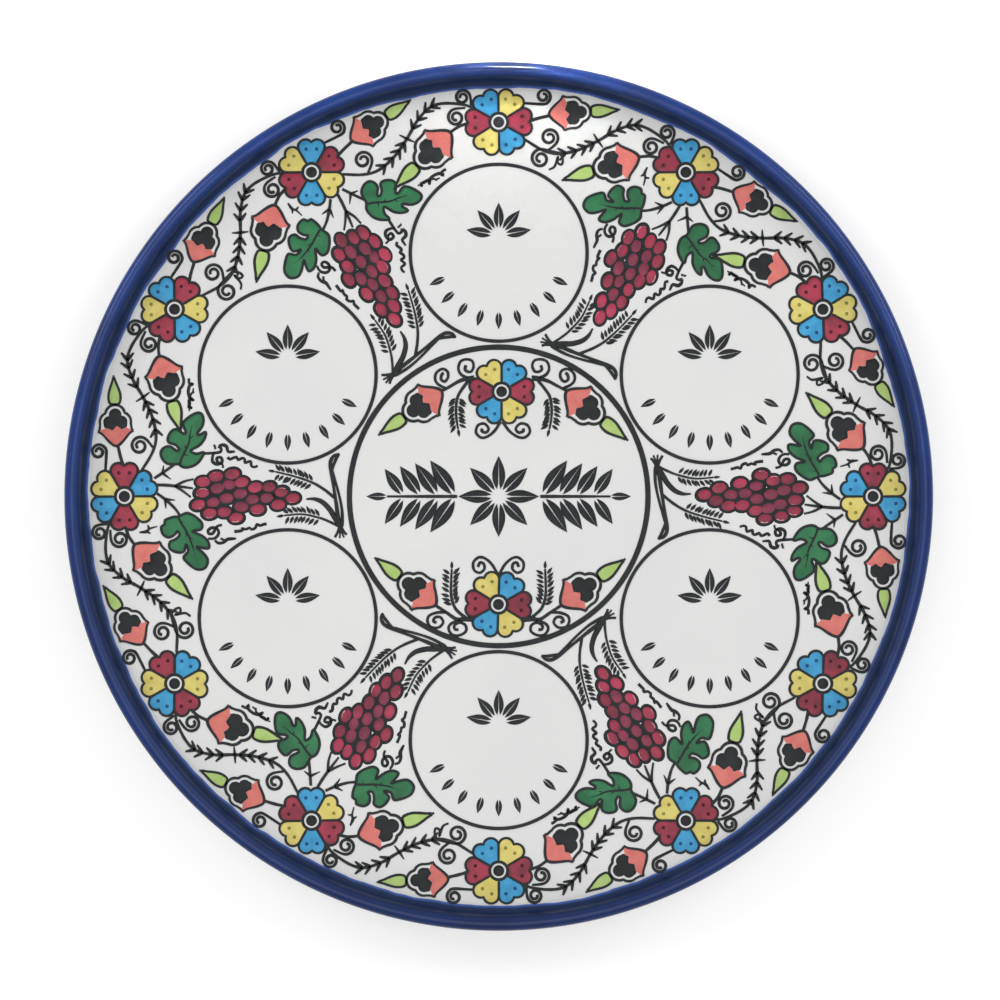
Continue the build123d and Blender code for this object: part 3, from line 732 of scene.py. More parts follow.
# the cobalt thins out over the white of the face
featherEdge = [(faceRadius - plateShape["feather"], faceTop - plateShape["featherLow"]),
               (faceRadius - plateShape["feather"], faceTop + plateShape["featherHigh"])]
rimOuter[0, 1] += plateShape["coveLift"]
turnedPiece("rimGlaze", [*featherEdge, *rimOuter, *rimInner[::-1]], True, cobaltGlaze,
            ["rim_glaze"], plateShape["rimSteps"])

footIn, footOut = footWellRadius, plateShape["footOuter"]
backSection = [*backOuter, (footOut, underside), (footOut, underside + glaze), *backInner[::-1]]
turnedPiece("backGlazeLayer", backSection, True, backGlaze, ["back_glaze"],
            plateShape["backSteps"])

roundOff, footCuts = plateShape["footRound"], plateShape["footCuts"]
setIn = plateShape["footTaper"] + roundOff
footSection = [(footOut, underside + glaze), (footOut, underside),
               *arcPoints((footOut - setIn, roundOff), roundOff, 360, 270, footCuts),
               *arcPoints((footIn + setIn, roundOff), roundOff, 270, 180, footCuts),
               (footIn, underside), (footIn, underside + glaze)]
claySection = [(0, clayTop), *clayLine, *footSection, (0, underside + glaze)]
turnedPiece("clayBody", claySection, False, bareClay, ["biscuit_body"], plateShape["claySteps"])

for node, finish in (("field_glaze", whiteGlaze), ("medallion_glaze", whiteGlaze), ("well_glaze", whiteGlaze),
                     ("foot_well_glaze", backGlaze)):
    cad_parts[node].data.materials.clear()
    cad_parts[node].data.materials.append(finish)
print("turned layers made")


# rings

ringLook = {"medallionWidth": medallionOuter - medallionInner + 0.25,
            "wellWidth": wellOuter - wellInner + 0.15, "rise": 0.35, "sink": faceTop - clayTop - 0.02,
            "wobble": 0.03, "sides": 10, "medallionCuts": 200, "wellCuts": 150, "wellTurn": 40.0}
wellSpots = [turnedSpot(wellOrbit, 0, angle) for angle in wellAngles]


def ringShape(outer, inner, width, cuts):
    ring = exactLoop(circlePoints((outer + inner) / 2, cuts), width)
    return inkShape([ring], ringLook["rise"], ringLook["sides"], ringLook["wobble"], ringLook["sink"])


medallionRing = ringShape(medallionOuter, medallionInner, ringLook["medallionWidth"],
                          ringLook["medallionCuts"])
inkPiece("medallionRing", medallionRing, drawnInPlace, ["medallion_ring"])
wellRing = ringShape(wellOuter, wellInner, ringLook["wellWidth"], ringLook["wellCuts"])
inkPiece("wellRings", wellRing, [(x, y, ringLook["wellTurn"] * i, 1.0) for i, (x, y) in enumerate(wellSpots)],
         ["well_rings"])
print("rings made")


# flowers

flowerLook = {"lobe": 2.07, "lobeX": 1.96, "lobeY": 8.48, "tip": 0.95, "cut": 3.15, "lineGrow": 0.45,
              "fillGrow": 0.3, "line": 0.92, "eye": 1.85, "eyeRing": 2.85, "eyeLine": 0.75, "dot": 0.6,
              "dotX": 1.75, "dotY": 7.75, "border": 1.04, "medallion": 1.02, "upper": (1.0, 36.4),
              "lower": (-0.1, -37.5), "yellowFirst": (0, 120, 150, 300, 330)}
flowerPlay = {"seed": 5, "turnPlay": 2.0, "sizePlay": 0.02}


def heartLoop(grow):
    radius = flowerLook["lobe"] + grow
    lobeX, cut = flowerLook["lobeX"], flowerLook["cut"]
    notch = math.degrees(math.acos(-lobeX / radius))
    lobe = arcPoints((lobeX, flowerLook["lobeY"]), radius, -30, notch, 13)
    # the side runs at 60 degrees from the tip, and starts at the ring round the eye
    tip = flowerLook["tip"] - 2 * grow
    c, s = math.cos(math.radians(60)), math.sin(math.radians(60))
    t = -tip * s + math.sqrt(max(cut * cut - (tip * c) ** 2, 0))
    foot = np.array([t * c, tip + t * s])
    side = foot + np.outer(np.linspace(0, 1, 6)[:-1], lobe[0] - foot)
    half = np.concatenate([side, lobe])
    base = arcPoints((0, 0), cut, 180 - headingOf(foot), headingOf(foot), 5)[1:-1]
    return np.concatenate([half, (half * (-1, 1))[::-1][1:], base])


bothEnds = (0, 180)      # petals of one colour face each other
petal = domedFill(heartLoop(flowerLook["fillGrow"]))
petalPair = joinShapes([turnedShape(petal, turn) for turn in bothEnds])
petalLine = exactLoop(heartLoop(flowerLook["lineGrow"]), flowerLook["line"])
flowerLines = inkShape(turnedStrokes([petalLine], range(30, 390, 60)), wobble=0.1)
dotSpots = [turnedSpot(side * flowerLook["dotX"], flowerLook["dotY"], turn) for turn in bothEnds
            for side in (-1, 1)]
dotPair = joinShapes([domedFill(circlePoints(flowerLook["dot"], 10) + spot, rise=0.6, spacing=0.5, edge=0.3)
                      for spot in dotSpots])
flowerEye = joinShapes([domedFill(circlePoints(flowerLook["eye"], 24), rise=0.4, spacing=0.8, edge=0.7),
                        inkShape([exactLoop(circlePoints(flowerLook["eyeRing"], 40),
                                            flowerLook["eyeLine"])])])
flowerPlaces = [(*turnedSpot(flowerOrbit, 0, angle), angle - 90.0, flowerLook["border"],
                 angle in flowerLook["yellowFirst"]) for angle in flowerAngles]
flowerPlaces += [(*flowerLook["upper"], 0.0, flowerLook["medallion"], True),
                 (*flowerLook["lower"], 180.0, flowerLook["medallion"], True)]


def petalPlaces(whenYellow, whenNot):
    # petals clockwise from the upper left one, in flowers that start with yellow and in the others
    return [(x, y, turn + 30 - 60 * (whenYellow if yellow else whenNot), size)
            for x, y, turn, size, yellow in flowerPlaces]


for colour, steps, petalFinish, dotFinish in (("Yellow", (0, 1), yellowEnamel, oliveEnamel),
                                              ("Blue", (1, 0), blueEnamel, navyEnamel),
                                              ("Red", (2, 2), redEnamel, wineEnamel)):
    slotName = colour.lower() + "_enamel"
    stampPiece("petals" + colour, petalPair, petalPlaces(*steps), petalFinish, slotName,
               ["petals_" + colour.lower()], **flowerPlay)
    stampPiece("dots" + colour, dotPair, petalPlaces(*steps), dotFinish, slotName, **flowerPlay)
plainPlaces = [place[:4] for place in flowerPlaces]
inkPiece("flowerOutlines", flowerLines, plainPlaces, **flowerPlay)
inkPiece("flowerEyes", flowerEye, plainPlaces, ["flower_eyes"], **flowerPlay)
print("flowers made:", len(flowerPlaces))


# tulips, each with its cup, heart and bud

tulipLook = {"band": 1.4, "line": 0.92, "bandLine": 0.95, "lineEnd": 0.8, "budLine": 0.88, "heartGap": 0.05,
             "outer": ((17.6, 132.8), 3.0, 0.88), "inner": ((-16.9, 126.4), 226.0, 0.98),
             "medallionSize": 0.96, "medallion": [(23.6, 36.4, -38.0), (-19.9, 36.6, 216.0),
                                                  (-22.0, -37.6, 142.5), (21.8, -37.6, 37.0)]}
tulipPlay = {"seed": 11, "turnPlay": 1.5, "sizePlay": 0.015}


def mirrored(points):
    return [(x, -y) for x, y in points[::-1]]


# a pointed hood with two ears, and a jagged edge where the heart begins
hoodHalf = [(0.4, 1.2), (1.6, 2.6), (3.2, 4.0), (4.6, 5.2), (5.3, 6.1), (5.8, 7.1)]
outerSide = smoothPath([*mirrored(hoodHalf), (-0.1, 0), *hoodHalf], step=0.7)
innerEdge = [(6.2, 6.4), (6.7, 5.0), (7.2, 3.8), (6.6, 2.4), (6.1, 1.2), (7.9, -0.4), (7.2, -1.6),
             (6.3, -2.4), (7.3, -4.0), (6.7, -5.2), (6.2, -6.4)]
cupShape = domedFill(np.concatenate([outerSide, innerEdge]))
# the heart is a few circles run together, with a white band and a line round it
heartMiddle = np.array([9.4, 0.0])
heartCircles = [(9.6, 2.5, 2.3), (9.6, -2.5, 2.3), (12.4, 0.0, 2.5), (8.6, 0.0, 3.0), (8.4, 2.7, 2.0),
                (8.4, -2.7, 2.0)]
heartTop = np.array(innerEdge[::-1])
heartOuter = starUnion(heartMiddle, heartCircles, np.linspace(-180, 180, 73)[:-1])
heartOuter = np.array([(max(x, np.interp(y, heartTop[:, 1], heartTop[:, 0]) + tulipLook["heartGap"]), y)
                       for x, y in heartOuter])
bandCircles = [(x, y, radius + tulipLook["band"]) for x, y, radius in heartCircles[:4]]
bandOuter = np.concatenate([[(5.9, -6.8), (6.9, -6.3)],
                            starUnion(heartMiddle, bandCircles, np.linspace(-95, 95, 49)),
                            [(6.9, 6.3), (5.9, 6.8)]])
line, bandLine, lineEnd = tulipLook["line"], tulipLook["bandLine"], tulipLook["lineEnd"]
tulipHeart = joinShapes([domedFill(heartOuter, rise=0.35), inkShape([
    stroke(outerSide, (lineEnd, line, 1.0, line, lineEnd), smooth=False),
    stroke(bandOuter, (lineEnd, bandLine, bandLine, lineEnd), smooth=False)])])
budHalf = [(16.7, 1.5), (18.3, 2.3), (20.5, 2.3), (23.0, 1.6), (25.2, 0.75)]
budLoop = smoothPath([*budHalf, (27.3, 0.0), *mirrored(budHalf)], closed=True, step=0.8)
budTip = stroke([(26.4, 0.0), (28.1, 0.1)], (0.9, 0.6))

tulipPlaces = [sectorPlace(angle, *tulipLook[spot]) for angle in flowerAngles for spot in ("outer", "inner")]
tulipPlaces += [(*place, tulipLook["medallionSize"]) for place in tulipLook["medallion"]]
stampPiece("tulipCups", cupShape, tulipPlaces, coralEnamel, "coral_enamel", ["tulip_cups"], **tulipPlay)
inkPiece("tulipHearts", tulipHeart, tulipPlaces, ["tulip_hearts"], **tulipPlay)
stampPiece("tulipBuds", domedFill(budLoop), tulipPlaces, limeEnamel, "lime_enamel", ["buds"], **tulipPlay)
inkPiece("budOutlines", inkShape([outline(budLoop, tulipLook["budLine"]), budTip]), tulipPlaces, **tulipPlay)
print("tulips made:", len(tulipPlaces))


# border lines: stalks, barbed vines, curls

def hereFlower(x, y):
    return np.array([x, flowerOrbit + y])


def nextFlower(x, y):
    return turnedSpot(x, flowerOrbit + y, -30)


vineLook = {"widths": (0.8, 0.95, 0.95, 0.95, 0.8), "crossWidths": (0.4, 1.0, 0.4),
            "barbWidths": (1.05, 0.98, 0.55), "barbLength": 3.4, "barbLean": 40.0,
            "backward": (0.27, 0.33, 0.39, 0.45), "forward": (0.55, 0.61, 0.67, 0.73), "seed": 21}
vineKnots = [hereFlower(9.0, -6.0), hereFlower(15, -9.6), hereFlower(20.5, -11), (27.5, 120.3), (34.5, 123.5),
             (40.5, 127), nextFlower(-24, 5), nextFlower(-19, 6.5), nextFlower(-12, 6), nextFlower(-8.6, 4.6)]


def barbs(path):
    # pairs of barbs that point away from the vine's middle
    found = []
    steps = np.concatenate([[0], np.cumsum(np.linalg.norm(np.diff(path, axis=0), axis=1))])
    for reverse, shares in ((180, vineLook["backward"]), (0, vineLook["forward"])):
        for share in shares:
            i = int(np.searchsorted(steps, share * steps[-1]))
            heading = headingOf(path[min(i + 1, len(path) - 1)] - path[i - 1]) + reverse
            for lean in (-vineLook["barbLean"], vineLook["barbLean"]):
                end = path[i] + turnedSpot(vineLook["barbLength"], 0, heading + lean)
                found.append(stroke([path[i], (path[i] + end) / 2, end], vineLook["barbWidths"]))
    return found


vine = stroke(vineKnots, vineLook["widths"])
crossBar = stroke([(32.9, 126.0), (34.5, 123.5), (36.2, 121.2)], vineLook["crossWidths"])
inkPiece("featherVines", inkShape([vine, crossBar, *barbs(vine[0])]), aroundPlate(12), ["feather_vines"],
         seed=vineLook["seed"])

# left of each medallion flower: a stalk, two curls and a frond on it, and a curl towards the middle
upperTwig = {
    "axis": 1.0, "stretch": 1.1,
    "stalk": [(-8.5, 41.1), (-11.4, 40.8), (-14, 39.9), (-16.9, 38.2), (-19.6, 36.7)],
    "curls": [[(-10.7, 41.1), (-13, 42.3), (-14, 44.3), (-13.4, 46.7), (-11.6, 47.6), (-9.4, 47.2),
               (-8.7, 45.4), (-9.4, 43.5), (-10.7, 43.3), (-11.7, 44.1), (-11.4, 45.6)],
              [(-18.5, 37.5), (-21.1, 39), (-22.1, 40.8), (-21.6, 43), (-19.6, 44.3), (-17.8, 43.4),
               (-17.6, 41.4), (-18.7, 39.9), (-20, 40.6), (-19.8, 42.3), (-19.1, 42.9)],
              [(0.7, 26), (-1.5, 22.7), (-4.1, 20.7), (-6.3, 20.5), (-7.9, 22.3), (-7.2, 24.7), (-5, 25.3),
               (-3.5, 23.6), (-4.4, 22.2), (-5.9, 22.7), (-5.7, 23.6)]],
    "frond": [(-10.5, 40.3), (-12.9, 37), (-14.3, 34.4), (-14.8, 30.7), (-14.7, 27.1), (-14.1, 23.4)]}
lowerTwig = {
    "axis": -0.1, "stretch": 1.0,
    "stalk": [(-8.7, -42.7), (-11.8, -42.6), (-14.7, -42.6), (-18.3, -40.2), (-22, -37.8)],
    "curls": [[(-13.2, -42.9), (-16.5, -44.2), (-17.4, -46), (-16.1, -48), (-13.6, -48.2), (-11.4, -46.8),
               (-11.6, -44.7), (-13.6, -43.8), (-15.4, -44.9), (-15.1, -46.2), (-14, -46.2)],
              [(-18.5, -40.2), (-21.6, -40.4), (-24.2, -41.5), (-24.7, -43.5), (-23.5, -45.3), (-20.9, -45.5),
               (-19.3, -43.8), (-20.2, -42), (-22, -42), (-22.7, -43.3), (-21.6, -43.8)],
              [(-0.2, -27.4), (-2.3, -23.7), (-4.8, -21.5), (-7, -21.2), (-8.8, -23), (-8.5, -25.6),
               (-6.6, -26.5), (-5, -25.2), (-5.2, -23.4), (-6.5, -23), (-7.2, -24.5)]],
    "frond": [(-11.2, -42.4), (-14.3, -39.8), (-15.6, -37.8), (-16.5, -34.3), (-16.5, -29.6), (-16.3, -25.2)]}
twigs = (upperTwig, lowerTwig)


def bothSides(twig, points):
    return [points, [(twig["axis"] + (twig["axis"] - x) * twig["stretch"], y) for x, y in points]]


stalkLook = {"border": (1.0, 0.95, 0.9), "medallion": (1.7, 1.3, 1.0, 0.9, 0.9),
             "curl": (0.95, 0.85, 0.85, 0.85, 0.95)}
stalks = [stroke([hereFlower(10.8, 0.4), hereFlower(13.6, 1.3), hereFlower(17.4, 2.2)], stalkLook["border"]),
          stroke([hereFlower(-10.6, -0.4), hereFlower(-13.8, -1.5), hereFlower(-17.0, -3.7)],
                 stalkLook["border"])]
medallionStalks = [stroke(path, stalkLook["medallion"]) for twig in twigs
                   for path in bothSides(twig, twig["stalk"])]
inkPiece("flowerStalks", inkShape(inSectors(stalks, flowerAngles) + medallionStalks), drawnInPlace,
         ["flower_stalks"])

# root, centre and radius of each curl, from its flower
borderCurls = [curl(hereFlower(*root), hereFlower(*centre), radius) for root, centre, radius in (
    ((8.6, 6.6), (15.5, 9.0), 2.75), ((17, -9.9), (17.6, -5.3), 3.2),
    ((-9.6, 5.6), (-12.6, 8.6), 2.7), ((-11.6, 4.9), (-14.8, 1.6), 3.0))]
wellCurls = [curl(hereFlower(20.5, -10.6), hereFlower(14.5, -12.7), 3.3)]
medallionCurls = [stroke(path, stalkLook["curl"], step=0.5) for twig in twigs for points in twig["curls"]
                  for path in bothSides(twig, points)]
allCurls = inSectors(borderCurls, flowerAngles) + inSectors(wellCurls, wellAngles) + medallionCurls
inkPiece("spiralTendrils", inkShape(allCurls, sides=7), drawnInPlace, ["spiral_tendrils"])
print("border lines made")


# grape bunches with their leaves and stems

berryLook = {"width": 3.45, "height": 4.8, "line": 1.06, "lineGrow": 1.2, "lean": 8.0, "seed": 31,
             "glintSeed": 33}
berryPlay = {"turnPlay": 8.0, "sizePlay": 0.05}
glintPlay = {"turnPlay": 14.0, "sizePlay": 0.12}
berrySpots = [(-2.9, 104.3), (1.3, 102.9), (5, 102.6), (-5.9, 100.3), (-2.1, 99.1), (2.8, 97.7), (6.9, 98.2),
              (-5.5, 95.3), (-0.7, 94.5), (4.1, 93.6), (7.7, 92.5), (-7.4, 91.2), (-3.6, 89.4), (0.9, 89.7),
              (4.9, 89.3), (-1.1, 85.6), (3.1, 84.6), (-4.5, 83.8), (-0.6, 80.6), (3.2, 79.8), (-2.9, 76.6),
              (1.5, 75.5), (-0.6, 71.5)]
deepSpots = [(-2.1, 99.1), (2.8, 97.7), (-0.7, 94.5), (4.1, 93.6), (-3.6, 89.4), (0.9, 89.7), (-1.1, 85.6),
             (-0.6, 80.6)]
outerSpots = [spot for spot in berrySpots if spot not in deepSpots]


def bunchPlaces(spots, faceOut=False):
    # painted glints (highlights) lie on the outer side of a berry, so those on the right half are turned
    # round
    return [sectorPlace(angle, (x, y), berryLook["lean"] + (180 if faceOut and x > 0.5 else 0))
            for angle in bunchAngles for x, y in spots]


berryLoop = circlePoints(1.0, 18) * (berryLook["width"] / 2, berryLook["height"] / 2)
berryShape = domedFill(berryLoop, rise=0.38, spacing=0.8, edge=1.3)
berryRing = inkShape([outline(berryLoop * berryLook["lineGrow"], berryLook["line"])], rise=0.2, sides=6)
glintLoop = smoothPath([(-0.75, 1.75), (-1.25, 1.0), (-1.4, 0.0), (-1.2, -0.9), (-0.95, 0.0), (-0.85, 0.9)],
                       closed=True, step=0.5)
stampPiece("grapeBerries", berryShape, bunchPlaces(outerSpots), grapeEnamel, "grape_enamel",
           ["grape_berries"], seed=berryLook["seed"], **berryPlay)
stampPiece("grapeHearts", berryShape, bunchPlaces(deepSpots), deepGrapeEnamel, "grape_enamel",
           seed=berryLook["seed"] + 1, **berryPlay)
inkPiece("grapeOutlines", berryRing, bunchPlaces(berrySpots), seed=berryLook["seed"], **berryPlay)
# painted highlights: pale crescents on the outer berries stand for glints of light
stampPiece("grapeGlints", domedFill(glintLoop, rise=0.5, spacing=0.5, edge=0.12),
           bunchPlaces(outerSpots, faceOut=True), paintedGlintEnamel, "grape_enamel", seed=berryLook["glintSeed"],
           **glintPlay)

vineLeafLook = {"line": 0.85, "midrib": (0.85, 0.75, 0.45), "vein": (0.6, 0.35), "stem": (0.9, 0.95, 0.95),
                "fork": (0.9, 0.75, 0.6), "twig": (0.9, 0.9, 0.8), "thorn": (0.95, 0.3), "leafSeed": 41,
                "stemSeed": 43}
leftLeaf = [(-7, 111.4), (-7.2, 113.2), (-8.3, 115.9), (-9.7, 116), (-10.6, 117.2), (-13.1, 116.6),
            (-14.2, 114.7), (-13.3, 112.6), (-12.0, 111.6), (-13.4, 110.8), (-15, 112.4), (-15.9, 114.2),
            (-18.1, 114.2), (-19.3, 111.9), (-19.2, 109.4), (-16.6, 108.6), (-19.0, 107.8), (-21.1, 109.4),
            (-23.1, 108), (-25.2, 105.2), (-25.2, 102.7), (-24, 101.4), (-21.8, 101.1), (-19.6, 102.7),
            (-17.5, 105.0), (-18.0, 102.2), (-17.8, 100.6), (-15.6, 101), (-13.6, 103.2), (-12.1, 106.4),
            (-11.4, 103.4), (-9.3, 103.1), (-7, 105.4), (-5.8, 108.1), (-6.4, 109.9)]
rightLeaf = [(11.2, 111.3), (11.2, 113.6), (11.6, 115.4), (13.4, 117), (15.5, 117.3), (17, 116.1),
             (17.3, 114.1), (15.8, 111.8), (16.4, 111.0), (17.9, 112.2), (18.8, 114.6), (20.3, 114.9),
             (22.5, 113.8), (23.3, 112), (21.7, 109.3), (22.5, 108.7), (25.4, 109.6), (27.6, 107.5),
             (29, 104.8), (28.6, 103.2), (26.7, 102.5), (24.3, 103), (22.1, 104.6), (21.3, 104.0),
             (22.4, 101.8), (20.4, 102), (17.9, 103.8), (15.9, 107.0), (14.8, 105.0), (15.3, 102.4),
             (12.9, 103.5), (11, 105.4), (10.1, 107.9), (10.3, 109.8)]
leafVeins = [("midrib",
              [(-7.5, 111.2), (-9.7, 110), (-11.9, 108.6), (-14.1, 107.5), (-17.6, 106.2), (-21, 105.5)]),
             ("vein", [(-12.1, 108.5), (-13.6, 108.5), (-14.8, 108.8)]),
             ("vein", [(-14.3, 107.5), (-14.7, 106.2), (-15.3, 105.2)]),
             ("vein", [(-9.2, 110.3), (-8.6, 109.3), (-8.5, 108.4)]),
             ("midrib", [(11.4, 110.7), (13.5, 110), (18.3, 107.7), (21.4, 107.2), (24.9, 106.4)]),
             ("vein", [(16.5, 108.6), (17.8, 109.1), (18.5, 109.6)]),
             ("vein", [(20.2, 106.9), (21.3, 105.9), (21.8, 104.9)]),
             ("vein", [(14.6, 109.4), (14.2, 107.8), (13.4, 106.6)])]
bunchStems = [("stem", [(4, 118.8), (3.9, 115.5), (3.6, 112.2)]),
              ("fork", [(3.6, 112.4), (1.8, 109.6), (-0.3, 106.9)]),
              ("fork", [(3.6, 112.4), (3.2, 109), (2.8, 106.2)]),
              ("fork", [(3.6, 112.4), (5.2, 109.2), (6.0, 106.0)]),
              ("twig", [(1, 118.6), (-1.2, 115.6), (-4, 112.6), (-6.3, 110.9)]),
              ("thorn", [(-1.2, 115.8), (-4.2, 115.6)]), ("thorn", [(-1.0, 115.6), (-1.3, 112.4)]),
              ("twig", [(6.3, 119.6), (8.3, 116.6), (11.2, 112.4)]),
              ("thorn", [(8.2, 116.7), (10.8, 116.4)]), ("thorn", [(8.1, 116.8), (5.9, 113.8)])]
leafLoops = [smoothPath(points, closed=True, step=0.8) for points in (leftLeaf, rightLeaf)]
leafLines = [outline(loop, vineLeafLook["line"]) for loop in leafLoops]
leafLines += [stroke(knots, vineLeafLook[kind]) for kind, knots in leafVeins]
stampPiece("vineLeaves", joinShapes([domedFill(loop, spacing=1.1) for loop in leafLoops]), aroundPlate(6),
           leafEnamel, "leaf_enamel", ["vine_leaves"], seed=vineLeafLook["leafSeed"])
inkPiece("leafOutlines", inkShape(leafLines), aroundPlate(6), seed=vineLeafLook["leafSeed"])
inkPiece("grapeStems", inkShape([stroke(knots, vineLeafLook[kind]) for kind, knots in bunchStems]),
         aroundPlate(6), ["grape_stems"], seed=vineLeafLook["stemSeed"])
print("grape bunches made:", len(bunchAngles) * len(berrySpots), "berries")


# small curled strokes beside leaves and wells

curledLook = {"knob": 1.7, "thin": 0.7, "tick": (0.8, 0.4), "rise": 0.3, "sides": 6}
besideBunch = [
    stroke([(14.9, 102.5), (15.0, 100.3), (15.2, 97.8), (15.6, 96.5), (16.8, 96.5), (17.4, 97.4)],
           (0.85, 0.85, 0.85, 0.85, 0.9)),
    stroke([(17.3, 98.2), (17.1, 98.9)], (1.3, curledLook["knob"])),
    stroke([(17.5, 97.2), (17.9, 95.8), (17.3, 94.5), (15.6, 94), (15.5, 92.8), (15.6, 91.6)],
           (0.8, 1.1, 1.1, 0.9, 0.8, 0.6)),
    stroke([(15.2, 98.7), (13.8, 99.4), (12.0, 99.3), (11.2, 97.7), (11.9, 96.1), (13.5, 96.4), (13.3, 97.9),
            (11.9, 97.5), (11.3, 96.1), (9.9, 95.7)], (0.7, 0.95, 0.95, 0.85, 0.6)),
    stroke([(13.7, 94.1), (12.9, 93.4), (13.5, 91.9), (13.6, 91), (12.7, 90.5), (13.3, 89.1), (12.9, 88.2),
            (11.7, 88.1), (12.2, 86.2), (10.6, 85.9), (10.2, 84.9), (10.6, 83.7)],
           (0.9, 0.9, 0.85, 0.85, 0.7)),
    stroke([(-14.6, 100.9), (-14.7, 99.3), (-14, 97.9), (-12.5, 97.2), (-11.1, 98), (-10.9, 99.7),
            (-11.8, 100.9), (-12.9, 100.7), (-12.9, 99.4), (-11.9, 98.7), (-10.4, 97.8), (-9.9, 96.1)],
           (0.7, 0.9, 0.9, 0.9, 0.75)),
    stroke([(-15.2, 98.6), (-16.2, 97.4), (-16, 95.7), (-14.9, 94.2), (-14.7, 92.5), (-14.6, 91.2)],
           (0.7, 0.85, 0.95, 1.1, 0.9, 0.6)),
    stroke([(-15.3, 95.9), (-14.6, 95.6)], (curledLook["knob"], curledLook["knob"])),
    stroke([(-12.2, 91.8), (-12.1, 90.6), (-11.8, 89), (-11.1, 89.2), (-11.4, 87.8), (-10.9, 86.5),
            (-11.5, 85.8), (-10.9, 84.5), (-9.7, 84), (-10.1, 83), (-9.7, 81.6), (-9.5, 80.6)],
           (0.9, 0.85, 0.85, 0.85, 0.9)),
    squiggle((29.6, 107.4), (37.6, 106.0), loops=3, size=0.75, width=curledLook["thin"]),
    stroke([(-12.5, 124.8), (-12.2, 122.4), (-11.2, 121.2), (-10.4, 118.6)], (0.5, 0.95, 0.6, 0.4)),
    stroke([(-12.3, 122.0), (-12.9, 120.9)], curledLook["tick"]),
    stroke([(-11.2, 121.4), (-9.9, 121.9)], curledLook["tick"])]
besideWell = [
    stroke([(-26.6, 107.6), (-27, 108.7), (-25.9, 109), (-24.6, 109.9), (-23.9, 109), (-23.9, 110.2),
            (-22.5, 111.5), (-20.4, 112.2), (-19.3, 111.5), (-19.7, 112.7), (-18.3, 113.7)],
           (0.9, 0.95, 0.9, 1.0, 0.8)),
    stroke([(20.7, 119.7), (22.2, 117.4), (21.9, 115.3), (20.5, 115.9), (20.6, 118), (19.4, 114.6),
            (17.4, 113.5)], (0.6, 0.75, 0.75, 0.8, 0.6))]
curledStrokes = inSectors(besideBunch, bunchAngles) + inSectors(besideWell, wellAngles)
inkPiece("curledStrokes", inkShape(curledStrokes, curledLook["rise"], curledLook["sides"]), drawnInPlace)
print("curled strokes made:", len(curledStrokes))


# wheat sheaves by the medallion ring, and the fronds inside it

grainLook = {"length": 3.0, "width": 1.15, "leanLeft": 60.0, "leanRight": 44.0, "gap": 0.6, "tipSize": 0.9,
             "earFrom": 0.02, "leftPairs": 8, "rightPairs": 9, "frondFrom": 0.04, "frondPairs": 8,
             "frondSize": 1.05}
grainPlay = {"seed": 51, "turnPlay": 5.0, "sizePlay": 0.08}


def lensLoop(length, width, count=7):
    top = [(length * t, width / 2 * math.sin(math.pi * t ** 0.8)) for t in np.linspace(0, 1, count)]
    return np.array(top + [(x, -y) for x, y in top[-2:0:-1]])


def earGrains(knots, shareFrom, pairs, size=1.0):
    # pairs of grains along an ear, and one at its tip
    path = smoothPath(knots, step=0.4)
    found = []
    for i in range(pairs):
        at = int((shareFrom + (1 - shareFrom) * i / pairs) * (len(path) - 1))
        ahead = path[min(at + 2, len(path) - 1)] - path[max(at - 2, 0)]
        for side, lean in ((-1, grainLook["leanRight"]), (1, grainLook["leanLeft"])):
            off = np.array([-ahead[1], ahead[0]]) / np.linalg.norm(ahead) * side * grainLook["gap"]
            found.append((*(path[at] + off), headingOf(ahead) + side * lean, size))
    found.append((*path[-1], headingOf(path[-1] - path[-4]), grainLook["tipSize"] * size))
    return found


leftEar = [(-7.4, 62.4), (-6.2, 68.2), (-6.6, 74.5)]
rightEar = [(4.9, 64.9), (7.0, 71.1), (8.6, 77.6)]
fronds = [path for twig in twigs for path in bothSides(twig, twig["frond"])]
sheafGrains = (earGrains(leftEar, grainLook["earFrom"], grainLook["leftPairs"])
               + earGrains(rightEar, grainLook["earFrom"], grainLook["rightPairs"]))
grainSpots = [sectorPlace(angle, (x, y), turn, size) for angle in bunchAngles
              for x, y, turn, size in sheafGrains]
for path in fronds:
    grainSpots += earGrains(path[2:], grainLook["frondFrom"], grainLook["frondPairs"], grainLook["frondSize"])
grainShape = domedFill(lensLoop(grainLook["length"], grainLook["width"]), rise=0.33, spacing=0.6, edge=0.45)
inkPiece("wheatEars", grainShape, grainSpots, ["wheat_ears"], **grainPlay)

# strokes that lie over each other take different heights, so that no two tops meet
sheafLook = {"stemRise": 0.32, "tieRise": 0.18, "tieStep": 0.035, "tie": (0.75, 0.85, 1.0),
             "thinTie": (0.55, 0.6, 0.8), "frond": (1.0, 0.9, 0.8, 0.6), "bladeRise": 0.35, "bladeStep": 0.03,
             "bladeWobble": 0.04, "bladeSeed": 53}
sheafStems = [stroke([(-10.3, 55.7), (-8.7, 58.9), *leftEar], (0.8, 0.7, 0.6, 0.5)),
              stroke([(-0.5, 57.0), (2.4, 60.6), *rightEar], (0.9, 0.8, 0.6, 0.5))]
sheafTies = [stroke([(-13.3, 52.8), (-12.2, 53.8), (-10.4, 54.9)], sheafLook["tie"]),
             stroke([(-14.3, 53.7), (-12.6, 54.4), (-10.4, 55.0)], sheafLook["thinTie"]),
             stroke([(-14.5, 55.2), (-12.6, 55.1), (-10.4, 55.1)], sheafLook["thinTie"]),
             stroke([(-14.2, 56.9), (-12.4, 55.9), (-10.4, 55.2)], sheafLook["tie"])]
allStems = inSectors(sheafStems, bunchAngles) + [stroke(path, sheafLook["frond"]) for path in fronds]
